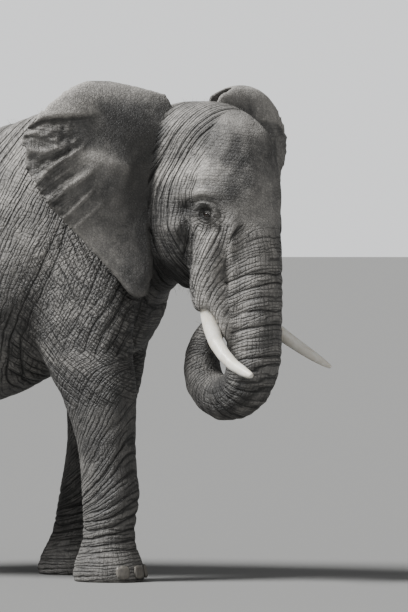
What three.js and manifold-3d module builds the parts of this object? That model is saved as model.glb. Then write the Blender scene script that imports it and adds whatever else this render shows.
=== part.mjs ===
// A life-size model of an adult African savanna elephant that stands with its trunk curled to its mouth.
// Millimetres, +Z up, facing +X, with the soles on z = 0 and the origin under the middle of the model.

import * as THREE from 'three';
import { LoftGeometry } from 'three/addons/geometries/LoftGeometry.js';
import { mergeVertices } from 'three/addons/utils/BufferGeometryUtils.js';
import Module from 'manifold-3d';

// ---------------------------------------------------------------- driving dimensions

const GAP = 0.3;
const FAR = 4000;
const SHOULDER_HEIGHT = 2820;
const BODY_BACK = -2440;

const HEAD_YAW = THREE.MathUtils.degToRad(-22);
const HEAD_X = 382;
const HEAD_Y = -80;

const FORE_FOOT_OUT = 320;
const HIND_FOOT_OUT = 290;
const FORE_STEP = { right: 0, left: -450 };
const HIND_STEP = { right: -1940, left: -1640 };
const FORE_HINGE_HEIGHT = 1800;
const HIND_HINGE_HEIGHT = 1900;
const HIND_TOP_X = -1800;
const STEP_CURVE = 1.3;
const FOOT_HEIGHT = 205;
const FORE_LEG_TOP = 1330;
const HIND_LEG_TOP = 1180;

const EAR_SPREAD = { right: 60, left: 84 };
const EAR_THICKNESS = 24;
// How far from a ring, in rings, the ear's slope is taken.
const EAR_SLOPE_STEP = 0.2;
const EYE_RADIUS = 26;
const EYE_PLACE = { f: 420, s: 268, z: 2122 };
const EYE_SOCKET = { sides: 8, narrow: 30, wide: 46, depth: 46, middle: 301 };

const ROUND_FACETS = {
  ball: { around: 10, down: 7 },
  nail: { around: 7, down: 4 },
  finger: { around: 8, down: 5 },
};

const NAIL_SIZE = { deep: 18, wide: 46, high: 44, proud: 9, middle: 58, clear: 4 };
const NAIL_FULLNESS = 0.7;
const NAIL_LEAN = THREE.MathUtils.degToRad(-12);
const NAIL_SPACING = THREE.MathUtils.degToRad(33);

// How many rows and sides each lofted piece has.
const FACETS = {
  torso: { rows: 14, sides: 20 },
  neck: { rows: 5, sides: 18 },
  limb: { rows: 17, sides: 13 },
  skull: { rows: 13, sides: 18 },
  muzzle: { rows: 4, sides: 10 },
  sheath: { rows: 6, sides: 9 },
  lip: { rows: 3, sides: 7 },
  jaw: { rows: 6, sides: 10 },
  tusk: { rows: 10, sides: 9 },
  trunkRoot: { rows: 4, sides: 14 },
  ear: { rows: 18, sides: 10 },
  tail: { rows: 10, sides: 8 },
  tuft: { rows: 6, sides: 8 },
};

// How the body's rings bow: above and below 1 flattens and fills a curve.
const BODY_WIDEST = 0.44;
const BODY_BACK_WIDTH = 1.16;
const BODY_BELLY_WIDTH = 0.88;
const BODY_BACK_HEIGHT = 0.94;
const BODY_BELLY_HEIGHT = 0.9;
const SKULL_FULLNESS = 0.95;

const SIDES = { right: -1, left: 1 };

const SKIN = { color: 0x6b6a67, roughness: 0.92, metalness: 0 };
const IVORY = { color: 0xe9e4d6, roughness: 0.35, metalness: 0 };
const NAIL = { color: 0x8d877c, roughness: 0.6, metalness: 0 };
const EYE = { color: 0x1d1510, roughness: 0.08, metalness: 0 };
const TAIL_HAIR = { color: 0x1c1a19, roughness: 0.7, metalness: 0 };

// Torso rings across the body: top and bottom heights and half width.
const TORSO = [
  { x: BODY_BACK, top: 2250, bottom: 1860, half: 130 },
  { x: -2370, top: 2390, bottom: 1560, half: 360 },
  { x: -2200, top: 2510, bottom: 1280, half: 520 },
  { x: -1900, top: 2605, bottom: 1070, half: 600 },
  { x: -1550, top: 2610, bottom: 965, half: 655 },
  { x: -1150, top: 2580, bottom: 945, half: 685 },
  { x: -770, top: 2650, bottom: 1030, half: 665 },
  { x: -480, top: 2750, bottom: 1170, half: 600 },
  { x: -210, top: SHOULDER_HEIGHT, bottom: 1250, half: 530 },
  { x: 20, top: 2790, bottom: 1285, half: 460 },
  { x: 170, top: 2660, bottom: 1440, half: 370 },
  { x: 240, top: 2480, bottom: 1700, half: 230 },
];

// Neck rings, which turn with the head.
const NECK = [
  { x: -60, y: 0, top: 2770, bottom: 1330, half: 420 },
  { x: 110, y: -10, top: 2765, bottom: 1370, half: 400 },
  { x: 200, y: -30, top: 2735, bottom: 1590, half: 370 },
  { x: 320, y: -58, top: 2680, bottom: 1715, half: 330 },
  { x: 430, y: -85, top: 2600, bottom: 1770, half: 270 },
];

// Level rings of the skull and cheeks, in the head's own frame.
const SKULL = [
  { z: 1700, front: 300, back: 60, wide: 150, half: 120 },
  { z: 1760, front: 350, back: 0, wide: 150, half: 200 },
  { z: 1870, front: 430, back: -80, wide: 140, half: 270 },
  { z: 1980, front: 570, back: -150, wide: 140, half: 316 },
  { z: 2080, front: 655, back: -190, wide: 145, half: 342 },
  { z: 2200, front: 672, back: -225, wide: 150, half: 352 },
  { z: 2320, front: 666, back: -245, wide: 150, half: 342 },
  { z: 2430, front: 634, back: -250, wide: 145, half: 328 },
  { z: 2560, front: 596, back: -240, wide: 125, half: 304 },
  { z: 2640, front: 530, back: -215, wide: 115, half: 282 },
  { z: 2705, front: 456, back: -160, wide: 110, half: 240 },
  { z: 2760, front: 345, back: -60, wide: 115, half: 172 },
  { z: 2784, front: 235, back: 30, wide: 120, half: 85 },
];

// The muzzle fills the face between the tusk sheaths and the root of the trunk.
const MUZZLE = [
  { z: 1680, front: 480, back: 300, wide: 390, half: 190 },
  { z: 1740, front: 500, back: 250, wide: 390, half: 236 },
  { z: 1860, front: 540, back: 220, wide: 380, half: 262 },
  { z: 1990, front: 596, back: 200, wide: 370, half: 276 },
  { z: 2110, front: 612, back: 190, wide: 340, half: 270 },
];

// Tusk sheath, from below the eye down to the lip.
const SHEATH = [
  { f: 430, s: 140, z: 2200, r: 62 },
  { f: 405, s: 184, z: 2030, r: 100 },
  { f: 366, s: 198, z: 1870, r: 114 },
  { f: 360, s: 202, z: 1730, r: 110 },
  { f: 370, s: 206, z: 1630, r: 98 },
  { f: 384, s: 212, z: 1568, r: 74 },
];

// The upper lip, from the end of the sheath down the side of the trunk.
const LIP = [
  { f: 400, s: 196, z: 1690, r: 86 },
  { f: 432, s: 192, z: 1590, r: 78 },
  { f: 478, s: 174, z: 1490, r: 60 },
  { f: 506, s: 148, z: 1375, r: 26 },
];

// Lower jaw rings, in the head's own frame.
const JAW = [
  { x: 40, y: 0, top: 1900, bottom: 1745, half: 165 },
  { x: 150, y: 0, top: 1830, bottom: 1690, half: 152 },
  { x: 240, y: 0, top: 1780, bottom: 1640, half: 112 },
  { x: 310, y: 0, top: 1735, bottom: 1604, half: 74 },
  { x: 350, y: 0, top: 1700, bottom: 1598, half: 44 },
  { x: 372, y: 0, top: 1672, bottom: 1618, half: 18 },
];

// The trunk hangs from the brow, then curls back and up round one centre.
const TRUNK_DROP = [
  { f: 420, z: 2230, r: 190 },
  { f: 468, z: 2110, r: 198 },
  { f: 510, z: 1980, r: 186 },
  { f: 530, z: 1850, r: 174 },
  { f: 541, z: 1700, r: 168 },
  { f: 545, z: 1530, r: 164 },
  { f: 543, z: 1400, r: 161 },
];
const CURL_CENTRE = { f: 332, z: 1285 };
const CURL = [
  { angle: 0, reach: 209, r: 159 },
  { angle: -45, reach: 216, r: 147 },
  { angle: -90, reach: 225, r: 135 },
  { angle: -135, reach: 209, r: 118 },
  { angle: -180, reach: 182, r: 105 },
  { angle: -225, reach: 192, r: 85 },
  { angle: -243, reach: 196, r: 74 },
];
const TRUNK_FINGERS = [
  { out: 40, ahead: 16, long: 52, wide: 36, thick: 24 },
  { out: -42, ahead: 6, long: 38, wide: 42, thick: 24 },
];
// Where the trunk is divided, as places along its rings.
const TRUNK_CUTS = [2, 5, 7.5, 9.6, 11.2, 13];
const TRUNK_LENGTHS = [
  { name: 'trunk_upper', rows: 4 },
  { name: 'trunk_middle', rows: 4 },
  { name: 'trunk_bend', rows: 4 },
  { name: 'trunk_curl', rows: 3 },
  { name: 'trunk_tip', rows: 3 },
];
const TRUNK_CLEARANCE = 0.003;

// Ear strips from the lobe's tip up, over the rolled top and down behind it:
// inner and outer edge, height and how far the sheet leans back.
const EAR = [
  { inner: 80, outer: 120, z: 1642, lean: 0 },
  { inner: 28, outer: 162, z: 1665, lean: 0 },
  { inner: 14, outer: 234, z: 1755, lean: 4 },
  { inner: 12, outer: 340, z: 1870, lean: 8 },
  { inner: 16, outer: 450, z: 1985, lean: 10 },
  { inner: 18, outer: 570, z: 2095, lean: 10 },
  { inner: 10, outer: 662, z: 2190, lean: 8 },
  { inner: -20, outer: 738, z: 2305, lean: 4 },
  { inner: -50, outer: 786, z: 2415, lean: 0 },
  { inner: -80, outer: 806, z: 2530, lean: 0 },
  { inner: -110, outer: 772, z: 2625, lean: 4 },
  { inner: -130, outer: 710, z: 2700, lean: 14 },
  { inner: -145, outer: 640, z: 2770, lean: 30 },
  { inner: -105, outer: 566, z: 2826, lean: 52 },
  { inner: 60, outer: 488, z: 2868, lean: 84 },
  { inner: 190, outer: 404, z: 2890, lean: 122 },
  { inner: 130, outer: 392, z: 2874, lean: 160 },
  { inner: 20, outer: 388, z: 2836, lean: 182 },
  { inner: 10, outer: 380, z: 2776, lean: 188 },
];
const EAR_ROOT = { f: 60, s: 318 };
const EAR_SWEEP = 0.11;
// The left ear's outline leans outward: its share of the height over the level place, and its limits.
const EAR_LEAN = { right: 0, left: 0.29 };
const EAR_LEVEL_PLACE = 2510;
const EAR_MOST_IN = -60;
const EAR_MOST_OUT = 90;
const EAR_EDGE_FULLNESS = 0.5;
const EAR_WIDEST = Math.max(...EAR.map((strip) => strip.outer));

const TUSK = {
  right: [
    { f: 366, s: 205, z: 1690, r: 46 },
    { f: 378, s: 214, z: 1600, r: 50 },
    { f: 396, s: 223, z: 1515, r: 50 },
    { f: 468, s: 250, z: 1388, r: 45 },
    { f: 605, s: 290, z: 1280, r: 38 },
    { f: 745, s: 326, z: 1224, r: 29 },
    { f: 812, s: 347, z: 1207, r: 14 },
  ],
  left: [
    { f: 366, s: 205, z: 1700, r: 44 },
    { f: 380, s: 214, z: 1620, r: 47 },
    { f: 400, s: 224, z: 1560, r: 47 },
    { f: 470, s: 252, z: 1478, r: 43 },
    { f: 600, s: 298, z: 1380, r: 37 },
    { f: 745, s: 336, z: 1290, r: 27 },
    { f: 826, s: 356, z: 1244, r: 10 },
  ],
};

// Level rings of a fore limb above its foot: middle, half length and half width.
const FORE_LIMB = [
  { z: 0, x: 14, y: 0, along: 205, across: 193 },
  { z: 35, x: 14, y: 0, along: 216, across: 204 },
  { z: 110, x: 12, y: 0, along: 200, across: 190 },
  { z: FOOT_HEIGHT, x: 10, y: 0, along: 163, across: 158 },
  { z: 300, x: 15, y: 2, along: 154, across: 148 },
  { z: 400, x: 21, y: 3, along: 163, across: 152 },
  { z: 505, x: 27, y: 4, along: 174, across: 158 },
  { z: 640, x: 15, y: 8, along: 167, across: 156 },
  { z: 800, x: 2, y: 12, along: 174, across: 164 },
  { z: 960, x: -20, y: 16, along: 200, across: 178 },
  { z: 1100, x: -46, y: 22, along: 234, across: 190 },
  { z: 1220, x: -86, y: 26, along: 264, across: 196 },
  { z: 1340, x: -128, y: 30, along: 292, across: 196 },
  { z: 1520, x: -150, y: 36, along: 338, across: 192 },
  { z: 1780, x: -175, y: 38, along: 365, across: 182 },
  { z: 2060, x: -195, y: 26, along: 350, across: 164 },
  { z: 2330, x: -215, y: -30, along: 290, across: 136 },
  { z: 2580, x: -225, y: -130, along: 170, across: 86 },
];

const HIND_LIMB = [
  { z: 0, x: 24, y: 0, along: 190, across: 160 },
  { z: 35, x: 24, y: 0, along: 200, across: 170 },
  { z: 115, x: 12, y: 0, along: 182, across: 160 },
  { z: FOOT_HEIGHT, x: -2, y: 0, along: 148, across: 136 },
  { z: 320, x: -24, y: 0, along: 138, across: 126 },
  { z: 450, x: -42, y: 2, along: 152, across: 134 },
  { z: 600, x: -24, y: 8, along: 152, across: 140 },
  { z: 790, x: 8, y: 18, along: 172, across: 158 },
  { z: 980, x: 46, y: 32, along: 222, across: 184 },
  { z: 1180, x: 58, y: 52, along: 290, across: 212 },
  { z: 1400, x: 34, y: 72, along: 360, across: 232 },
  { z: 1650, x: -20, y: 84, along: 405, across: 246 },
  { z: 1900, x: -80, y: 76, along: 396, across: 240 },
  { z: 2140, x: -140, y: 26, along: 326, across: 200 },
  { z: 2360, x: -190, y: -60, along: 190, across: 120 },
];

// Tail, from its root on the rump to the top of its hair.
const TAIL = [
  { x: -2320, y: 0, z: 2260, along: 84, across: 92 },
  { x: -2420, y: 2, z: 2165, along: 66, across: 68 },
  { x: -2474, y: 5, z: 1990, along: 44, across: 46 },
  { x: -2490, y: 8, z: 1730, along: 34, across: 37 },
  { x: -2484, y: 12, z: 1420, along: 27, across: 29 },
  { x: -2466, y: 14, z: 1140, along: 22, across: 24 },
  { x: -2458, y: 14, z: 1020, along: 18, across: 22 },
];
const TUFT = [
  { z: 1020, x: -2458, y: 14, along: 20, across: 26 },
  { z: 960, x: -2456, y: 14, along: 32, across: 54 },
  { z: 860, x: -2452, y: 14, along: 36, across: 70 },
  { z: 740, x: -2448, y: 14, along: 30, across: 58 },
  { z: 640, x: -2446, y: 14, along: 15, across: 24 },
];

const wasm = await Module();
wasm.setup();

// ---------------------------------------------------------------- solids

const JOINING_DISTANCE = 1e-3;

function toSolid(geometry) {
  const bare = new THREE.BufferGeometry();
  bare.setAttribute('position', geometry.attributes.position);
  bare.setIndex(geometry.index);
  const merged = mergeVertices(bare, JOINING_DISTANCE);
  const vertProperties = new Float32Array(merged.attributes.position.array);
  const triVerts = new Uint32Array(merged.index.array);
  return new wasm.Manifold(new wasm.Mesh({ numProp: 3, vertProperties, triVerts }));
}

function toGeometry(solid) {
  const { vertProperties, triVerts } = solid.getMesh();
  const geometry = new THREE.BufferGeometry();
  geometry.setAttribute('position', new THREE.BufferAttribute(new Float32Array(vertProperties), 3));
  geometry.setIndex(new THREE.BufferAttribute(new Uint32Array(triVerts), 1));
  geometry.computeVertexNormals();
  return geometry;
}

function joined(solids) {
  return solids.reduce((sum, solid) => sum.add(solid));
}

// The largest body of a solid, without the slivers that a cut leaves.
function mainBody(solid) {
  return solid.decompose().reduce((best, body) => (body.volume() > best.volume() ? body : best));
}

function block(low, high) {
  const size = new THREE.Vector3().subVectors(high, low);
  const box = new THREE.BoxGeometry(size.x, size.y, size.z);
  const middle = new THREE.Vector3().addVectors(low, high).multiplyScalar(0.5);
  return toSolid(box.translate(middle.x, middle.y, middle.z));
}

// Everything between two heights.
function layer(low, high) {
  return block(new THREE.Vector3(-FAR, -FAR, low), new THREE.Vector3(FAR, FAR, high));
}

function ball(centre, radii) {
  const sphere = new THREE.SphereGeometry(1, ROUND_FACETS.ball.around, ROUND_FACETS.ball.down);
  return toSolid(sphere.scale(radii.x, radii.y, radii.z).translate(centre.x, centre.y, centre.z));
}

// ---------------------------------------------------------------- lofts

function smooth(a, b, c, d, t) {
  const slopeIn = (c - a) / 2;
  const slopeOut = (d - b) / 2;
  const t2 = t * t;
  const t3 = t2 * t;
  const reached = 3 * t2 - 2 * t3;
  const bend = (t3 - 2 * t2 + t) * slopeIn + (t3 - t2) * slopeOut;
  return (1 - reached) * b + reached * c + bend;
}

// A ring's sizes at a place between the listed ones, on a smooth curve through them.
function ringAt(rings, place) {
  const last = rings.length - 1;
  const start = Math.min(Math.floor(place), last - 1);
  const near = [start - 1, start, start + 1, start + 2];
  const [a, b, c, d] = near.map((index) => rings[THREE.MathUtils.clamp(index, 0, last)]);
  const ring = {};
  for (const key of Object.keys(b)) {
    ring[key] = smooth(a[key], b[key], c[key], d[key], place - start);
  }
  return ring;
}

function middleOf(points) {
  const sum = points.reduce((total, point) => total.add(point), new THREE.Vector3());
  return sum.divideScalar(points.length);
}

// Moves an end section out from its neighbour.
function lengthen(section, neighbour, grow) {
  const shift = middleOf(section).sub(middleOf(neighbour)).setLength(grow);
  section.forEach((point) => point.add(shift));
}

// A closed skin over the sections, which are turned over where they wind the wrong way.
function skinOver(sections, grow) {
  lengthen(sections[0], sections[1], grow);
  lengthen(sections.at(-1), sections.at(-2), grow);
  const middle = middleOf(sections[0]);
  const heading = middleOf(sections[1]).sub(middle);
  const quarter = Math.round(sections[0].length / 4);
  const first = sections[0][0].clone().sub(middle);
  const second = sections[0][quarter].clone().sub(middle);
  if (first.cross(second).dot(heading) < 0) sections.forEach((section) => section.reverse());
  return toSolid(new LoftGeometry(sections, { capStart: true, capEnd: true }));
}

function loft(rings, shape, { rows, sides, from = 0, to = rings.length - 1, grow = 0 }) {
  const sections = [];
  for (let row = 0; row <= rows; row += 1) {
    const place = from + (to - from) * row / rows;
    sections.push(shape(ringAt(rings, place), sides, grow, place));
  }
  return skinOver(sections, grow);
}

function bulge(value, power) {
  return Math.sign(value) * Math.abs(value) ** power;
}

// An upright ring across the body, narrow along the back and full below.
function uprightRing({ x, y = 0, top, bottom, half }, sides, grow) {
  const level = bottom + BODY_WIDEST * (top - bottom);
  const points = [];
  for (let side = 0; side < sides; side += 1) {
    const angle = 2 * Math.PI * side / sides;
    const rise = Math.sin(angle);
    const reach = Math.cos(angle);
    const fullness = rise > 0 ? BODY_BACK_WIDTH : BODY_BELLY_WIDTH;
    const height = rise > 0 ? top - level : level - bottom;
    points.push(new THREE.Vector3(
      x,
      y + (half + grow) * bulge(reach, fullness),
      level + (height + grow) * bulge(rise, rise > 0 ? BODY_BACK_HEIGHT : BODY_BELLY_HEIGHT),
    ));
  }
  return points;
}

// A level ring of a limb.
function limbRing({ x, y, z, along, across }, sides, grow) {
  const points = [];
  for (let side = 0; side < sides; side += 1) {
    const angle = 2 * Math.PI * side / sides;
    points.push(new THREE.Vector3(
      x + (along + grow) * Math.cos(angle),
      y + (across + grow) * Math.sin(angle),
      z,
    ));
  }
  return points;
}

// A level ring of the skull, widest behind the eyes.
function skullRing({ z, front, back, wide, half }, sides, grow) {
  const points = [];
  for (let side = 0; side < sides; side += 1) {
    const angle = 2 * Math.PI * side / sides;
    const ahead = Math.cos(angle);
    const length = ahead > 0 ? front - wide : wide - back;
    points.push(new THREE.Vector3(
      wide + (length + grow) * bulge(ahead, SKULL_FULLNESS),
      (half + grow) * bulge(Math.sin(angle), SKULL_FULLNESS),
      z,
    ));
  }
  return points;
}

// Round rings square to a path.
function pathRings(path, { rows, sides, from = 0, to = path.length - 1, grow = 0 }) {
  const place = (t) => {
    const { f, s = 0, z } = ringAt(path, t);
    return new THREE.Vector3(f, s, z);
  };
  const step = 0.05;
  const sections = [];
  for (let row = 0; row <= rows; row += 1) {
    const t = from + (to - from) * row / rows;
    const ahead = place(Math.min(t + step, path.length - 1)).sub(place(Math.max(t - step, 0))).normalize();
    const across = new THREE.Vector3(0, 1, 0).addScaledVector(ahead, -ahead.y).normalize();
    const over = new THREE.Vector3().crossVectors(ahead, across);
    const radius = ringAt(path, t).r + grow;
    const section = [];
    for (let side = 0; side < sides; side += 1) {
      const angle = 2 * Math.PI * side / sides;
      section.push(place(t)
        .addScaledVector(across, radius * Math.cos(angle))
        .addScaledVector(over, radius * Math.sin(angle)));
    }
    sections.push(section);
  }
  return skinOver(sections, grow);
}

// ---------------------------------------------------------------- scene graph

const elephant = new THREE.Group();
const body = new THREE.Group();
const head = new THREE.Group();
head.position.set(HEAD_X, HEAD_Y, 0);
head.rotation.z = HEAD_YAW;
body.add(head);
elephant.add(body);

head.updateMatrix();
const headToBody = head.matrix.elements;
const bodyToHead = head.matrix.clone().invert().elements;

function addPiece(parent, name, solid, finish) {
  const mesh = new THREE.Mesh(toGeometry(mainBody(solid)), new THREE.MeshStandardMaterial(finish));
  mesh.name = name;
  parent.add(mesh);
}

// ---------------------------------------------------------------- limbs

// A limb's rings in the body's frame: the foot's step fades out towards the hinge.
function limbRings(limb, { side, out, step, top, hinge }) {
  return limb.map((ring) => ({
    ...ring,
    x: top + (step - top) * (1 - Math.min(1, ring.z / hinge) ** STEP_CURVE) + ring.x,
    y: SIDES[side] * (out + ring.y),
  }));
}

const LIMBS = Object.keys(SIDES).flatMap((side) => [
  {
    name: `fore_${side}`,
    side,
    cut: FORE_LEG_TOP,
    nails: 4,
    rings: limbRings(FORE_LIMB, {
      side, out: FORE_FOOT_OUT, step: FORE_STEP[side], top: 0, hinge: FORE_HINGE_HEIGHT,
    }),
  },
  {
    name: `hind_${side}`,
    side,
    cut: HIND_LEG_TOP,
    nails: 3,
    rings: limbRings(HIND_LIMB, {
      side, out: HIND_FOOT_OUT, step: HIND_STEP[side], top: HIND_TOP_X, hinge: HIND_HINGE_HEIGHT,
    }),
  },
]);

function limbSolid(limb, grow = 0) {
  return loft(limb.rings, limbRing, { ...FACETS.limb, grow });
}

const limbSolids = LIMBS.map((limb) => limbSolid(limb));
const torsoOnly = loft(TORSO, uprightRing, FACETS.torso);
const torsoGrown = loft(TORSO, uprightRing, { ...FACETS.torso, grow: GAP });

const torso = joined([
  torsoOnly,
  ...LIMBS.map((limb, index) => limbSolids[index].intersect(layer(limb.cut, SHOULDER_HEIGHT))),
]);

// A rounded plate that faces +X and leans back with the foot's wall.
function nailPlate() {
  const plate = new THREE.SphereGeometry(1, ROUND_FACETS.nail.around, ROUND_FACETS.nail.down);
  const points = plate.attributes.position;
  for (let index = 0; index < points.count; index += 1) {
    const [x, y, z] = [points.getX(index), points.getY(index), points.getZ(index)];
    points.setXYZ(index, bulge(x, NAIL_FULLNESS), bulge(y, NAIL_FULLNESS), bulge(z, NAIL_FULLNESS));
  }
  return plate.scale(NAIL_SIZE.deep, NAIL_SIZE.wide, NAIL_SIZE.high).rotateY(NAIL_LEAN);
}

// Nails round the front of a foot, set into its wall.
function addNails(limb, foot) {
  const sole = limb.rings[1];
  const inset = NAIL_SIZE.proud - NAIL_SIZE.deep;
  for (let nail = 0; nail < limb.nails; nail += 1) {
    const turn = (nail - (limb.nails - 1) / 2) * NAIL_SPACING;
    const plate = nailPlate().rotateZ(turn).translate(
      sole.x + (sole.along + inset) * Math.cos(turn),
      sole.y + (sole.across + inset) * Math.sin(turn),
      NAIL_SIZE.middle,
    );
    const nailSolid = toSolid(plate).subtract(foot).intersect(layer(NAIL_SIZE.clear, FOOT_HEIGHT));
    addPiece(body, `nail_${limb.name}_${nail + 1}`, nailSolid, NAIL);
  }
}

LIMBS.forEach((limb, index) => {
  const leg = limbSolids[index].intersect(layer(FOOT_HEIGHT + GAP, limb.cut - GAP)).subtract(torsoGrown);
  const foot = limbSolids[index].intersect(layer(0, FOOT_HEIGHT));
  addPiece(body, `leg_${limb.name}`, leg, SKIN);
  addPiece(body, `foot_${limb.name}`, foot, SKIN);
  addNails(limb, limbSolid(limb, GAP));
});

// ---------------------------------------------------------------- head

function skull(grow) {
  return loft(SKULL, skullRing, { ...FACETS.skull, grow });
}

function mirrored(rings, side) {
  return rings.map((ring) => ({ ...ring, s: SIDES[side] * ring.s }));
}

function sheath(side, grow) {
  return pathRings(mirrored(SHEATH, side), { ...FACETS.sheath, grow });
}

function lip(side, grow) {
  return pathRings(mirrored(LIP, side), { ...FACETS.lip, grow });
}

function tusk(side, grow) {
  return pathRings(mirrored(TUSK[side], side), { ...FACETS.tusk, grow });
}

const trunkPath = [
  ...TRUNK_DROP,
  ...CURL.map(({ angle, reach, r }) => ({
    f: CURL_CENTRE.f + reach * Math.cos(THREE.MathUtils.degToRad(angle)),
    z: CURL_CENTRE.z + reach * Math.sin(THREE.MathUtils.degToRad(angle)),
    r,
  })),
];

function trunkLength(span) {
  return pathRings(trunkPath, { ...FACETS.trunkRoot, ...span });
}

function eyeCentre(side) {
  return new THREE.Vector3(EYE_PLACE.f, SIDES[side] * EYE_PLACE.s, EYE_PLACE.z);
}

function eyeBall(side, grow) {
  const radius = EYE_RADIUS + grow;
  return ball(eyeCentre(side), new THREE.Vector3(radius, radius, radius));
}

// The dish in the head in which the eye lies.
function eyeSocket(side) {
  const { sides, narrow, wide, depth, middle } = EYE_SOCKET;
  const dish = new THREE.CylinderGeometry(wide, narrow, depth, sides);
  if (side === 'right') {
    dish.rotateX(Math.PI);
  }
  return toSolid(dish.translate(EYE_PLACE.f, SIDES[side] * middle, EYE_PLACE.z));
}

function wholeHead(grow) {
  return joined([
    skull(grow),
    sheath('right', grow),
    sheath('left', grow),
    lip('right', grow),
    lip('left', grow),
    loft(MUZZLE, skullRing, { ...FACETS.muzzle, grow }),
    trunkLength({ to: TRUNK_CUTS[0], grow }),
  ]);
}

const jaw = loft(JAW, uprightRing, FACETS.jaw);
const jawGrown = loft(JAW, uprightRing, { ...FACETS.jaw, grow: GAP });
const fittings = joined(Object.keys(SIDES).flatMap((side) => [eyeBall(side, GAP), tusk(side, GAP)]));
const sockets = joined(Object.keys(SIDES).map(eyeSocket));
const headGrown = wholeHead(GAP);
addPiece(head, 'head', wholeHead(0).subtract(fittings).subtract(sockets).subtract(jawGrown), SKIN);

for (const side of Object.keys(SIDES)) {
  addPiece(head, `eye_${side}`, eyeBall(side, 0), EYE);
  addPiece(head, `tusk_${side}`, tusk(side, 0), IVORY);
}

// ---------------------------------------------------------------- trunk

// The two fingers at the tip, one on the trunk's outer side and one on its inner side.
function trunkFinger({ out, ahead, long, wide, thick }) {
  const angle = THREE.MathUtils.degToRad(CURL.at(-1).angle);
  const outward = new THREE.Vector3(Math.cos(angle), 0, Math.sin(angle));
  const onward = new THREE.Vector3(Math.sin(angle), 0, -Math.cos(angle));
  const tip = outward.clone().multiplyScalar(CURL.at(-1).reach + out).addScaledVector(onward, ahead);
  const { around, down } = ROUND_FACETS.finger;
  const lobe = new THREE.SphereGeometry(1, around, down).scale(long, wide, thick);
  lobe.rotateY(Math.atan2(-onward.z, onward.x));
  return toSolid(lobe.translate(CURL_CENTRE.f + tip.x, tip.y, CURL_CENTRE.z + tip.z));
}

TRUNK_LENGTHS.forEach(({ name, rows }, index) => {
  const from = TRUNK_CUTS[index] + TRUNK_CLEARANCE;
  const length = trunkLength({ rows, from, to: TRUNK_CUTS[index + 1] });
  const whole = name === 'trunk_tip' ? joined([length, ...TRUNK_FINGERS.map(trunkFinger)]) : length;
  addPiece(head, name, whole.subtract(fittings).subtract(headGrown).subtract(jawGrown), SKIN);
});

// ---------------------------------------------------------------- ears

function ear(side) {
  const spread = THREE.MathUtils.degToRad(EAR_SPREAD[side]);
  const flip = SIDES[side];
  const outward = new THREE.Vector3(-Math.cos(spread), flip * Math.sin(spread), 0);
  const backward = new THREE.Vector3(-Math.sin(spread), -flip * Math.cos(spread), 0);
  const root = new THREE.Vector3(EAR_ROOT.f, flip * EAR_ROOT.s, 0);
  const shape = ({ inner, outer, z, lean }, sides, grow, place) => {
    const before = ringAt(EAR, Math.max(place - EAR_SLOPE_STEP, 0));
    const after = ringAt(EAR, Math.min(place + EAR_SLOPE_STEP, EAR.length - 1));
    const along = new THREE.Vector2(after.lean - before.lean, after.z - before.z).normalize();
    const leaning = EAR_LEAN[side] * (z - EAR_LEVEL_PLACE);
    const shiftOut = THREE.MathUtils.clamp(leaning, 0, EAR_MOST_OUT);
    const shiftIn = THREE.MathUtils.clamp(leaning, EAR_MOST_IN, 0) * outer / EAR_WIDEST;
    const front = inner + shiftOut;
    const rear = outer + shiftOut + shiftIn;
    const points = [];
    for (let point = 0; point < sides; point += 1) {
      const angle = 2 * Math.PI * point / sides;
      const reach = front + (rear - front) * (1 - Math.cos(angle)) / 2;
      const sweep = EAR_SWEEP * EAR_WIDEST * (Math.max(reach, 0) / EAR_WIDEST) ** 2;
      const half = EAR_THICKNESS / 2 * bulge(Math.sin(angle), EAR_EDGE_FULLNESS);
      points.push(root.clone()
        .addScaledVector(outward, reach)
        .addScaledVector(backward, lean + sweep + half * along.y)
        .setZ(z - half * along.x));
    }
    return points;
  };
  return loft(EAR, shape, FACETS.ear);
}

// ---------------------------------------------------------------- torso, neck, jaw and tail

const headInBody = headGrown.transform(headToBody);
const neckSolid = loft(NECK, uprightRing, FACETS.neck);
const neckGrown = loft(NECK, uprightRing, { ...FACETS.neck, grow: GAP });
const torsoWithLimbsGrown = joined([
  torsoGrown,
  ...LIMBS.map((limb) => limbSolid(limb, GAP)),
]);

addPiece(body, 'torso', torso.subtract(headInBody), SKIN);
addPiece(body, 'neck', neckSolid.subtract(torsoWithLimbsGrown).subtract(headInBody), SKIN);
addPiece(head, 'jaw', jaw.subtract(neckGrown.transform(bodyToHead)), SKIN);

for (const side of Object.keys(SIDES)) {
  const clear = ear(side)
    .subtract(headGrown)
    .subtract(neckGrown.transform(bodyToHead))
    .subtract(torsoWithLimbsGrown.transform(bodyToHead));
  addPiece(head, `ear_${side}`, clear, SKIN);
}

const tail = loft(TAIL, limbRing, FACETS.tail).subtract(torsoWithLimbsGrown);
addPiece(body, 'tail', tail.intersect(layer(TUFT[0].z + GAP, SHOULDER_HEIGHT)), SKIN);
addPiece(body, 'tail_tuft', loft(TUFT, limbRing, FACETS.tuft), TAIL_HAIR);

// The origin goes under the middle of the model.
const extent = new THREE.Box3().setFromObject(elephant, true);
const centre = extent.getCenter(new THREE.Vector3());
body.position.set(-centre.x, -centre.y, 0);

export default elephant;
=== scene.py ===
"""A life-size African savanna elephant, standing, with its trunk curled back to its mouth."""

import math

import bmesh
import bpy
import numpy as np
from mathutils import Matrix, Vector
from mathutils.bvhtree import BVHTree


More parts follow.
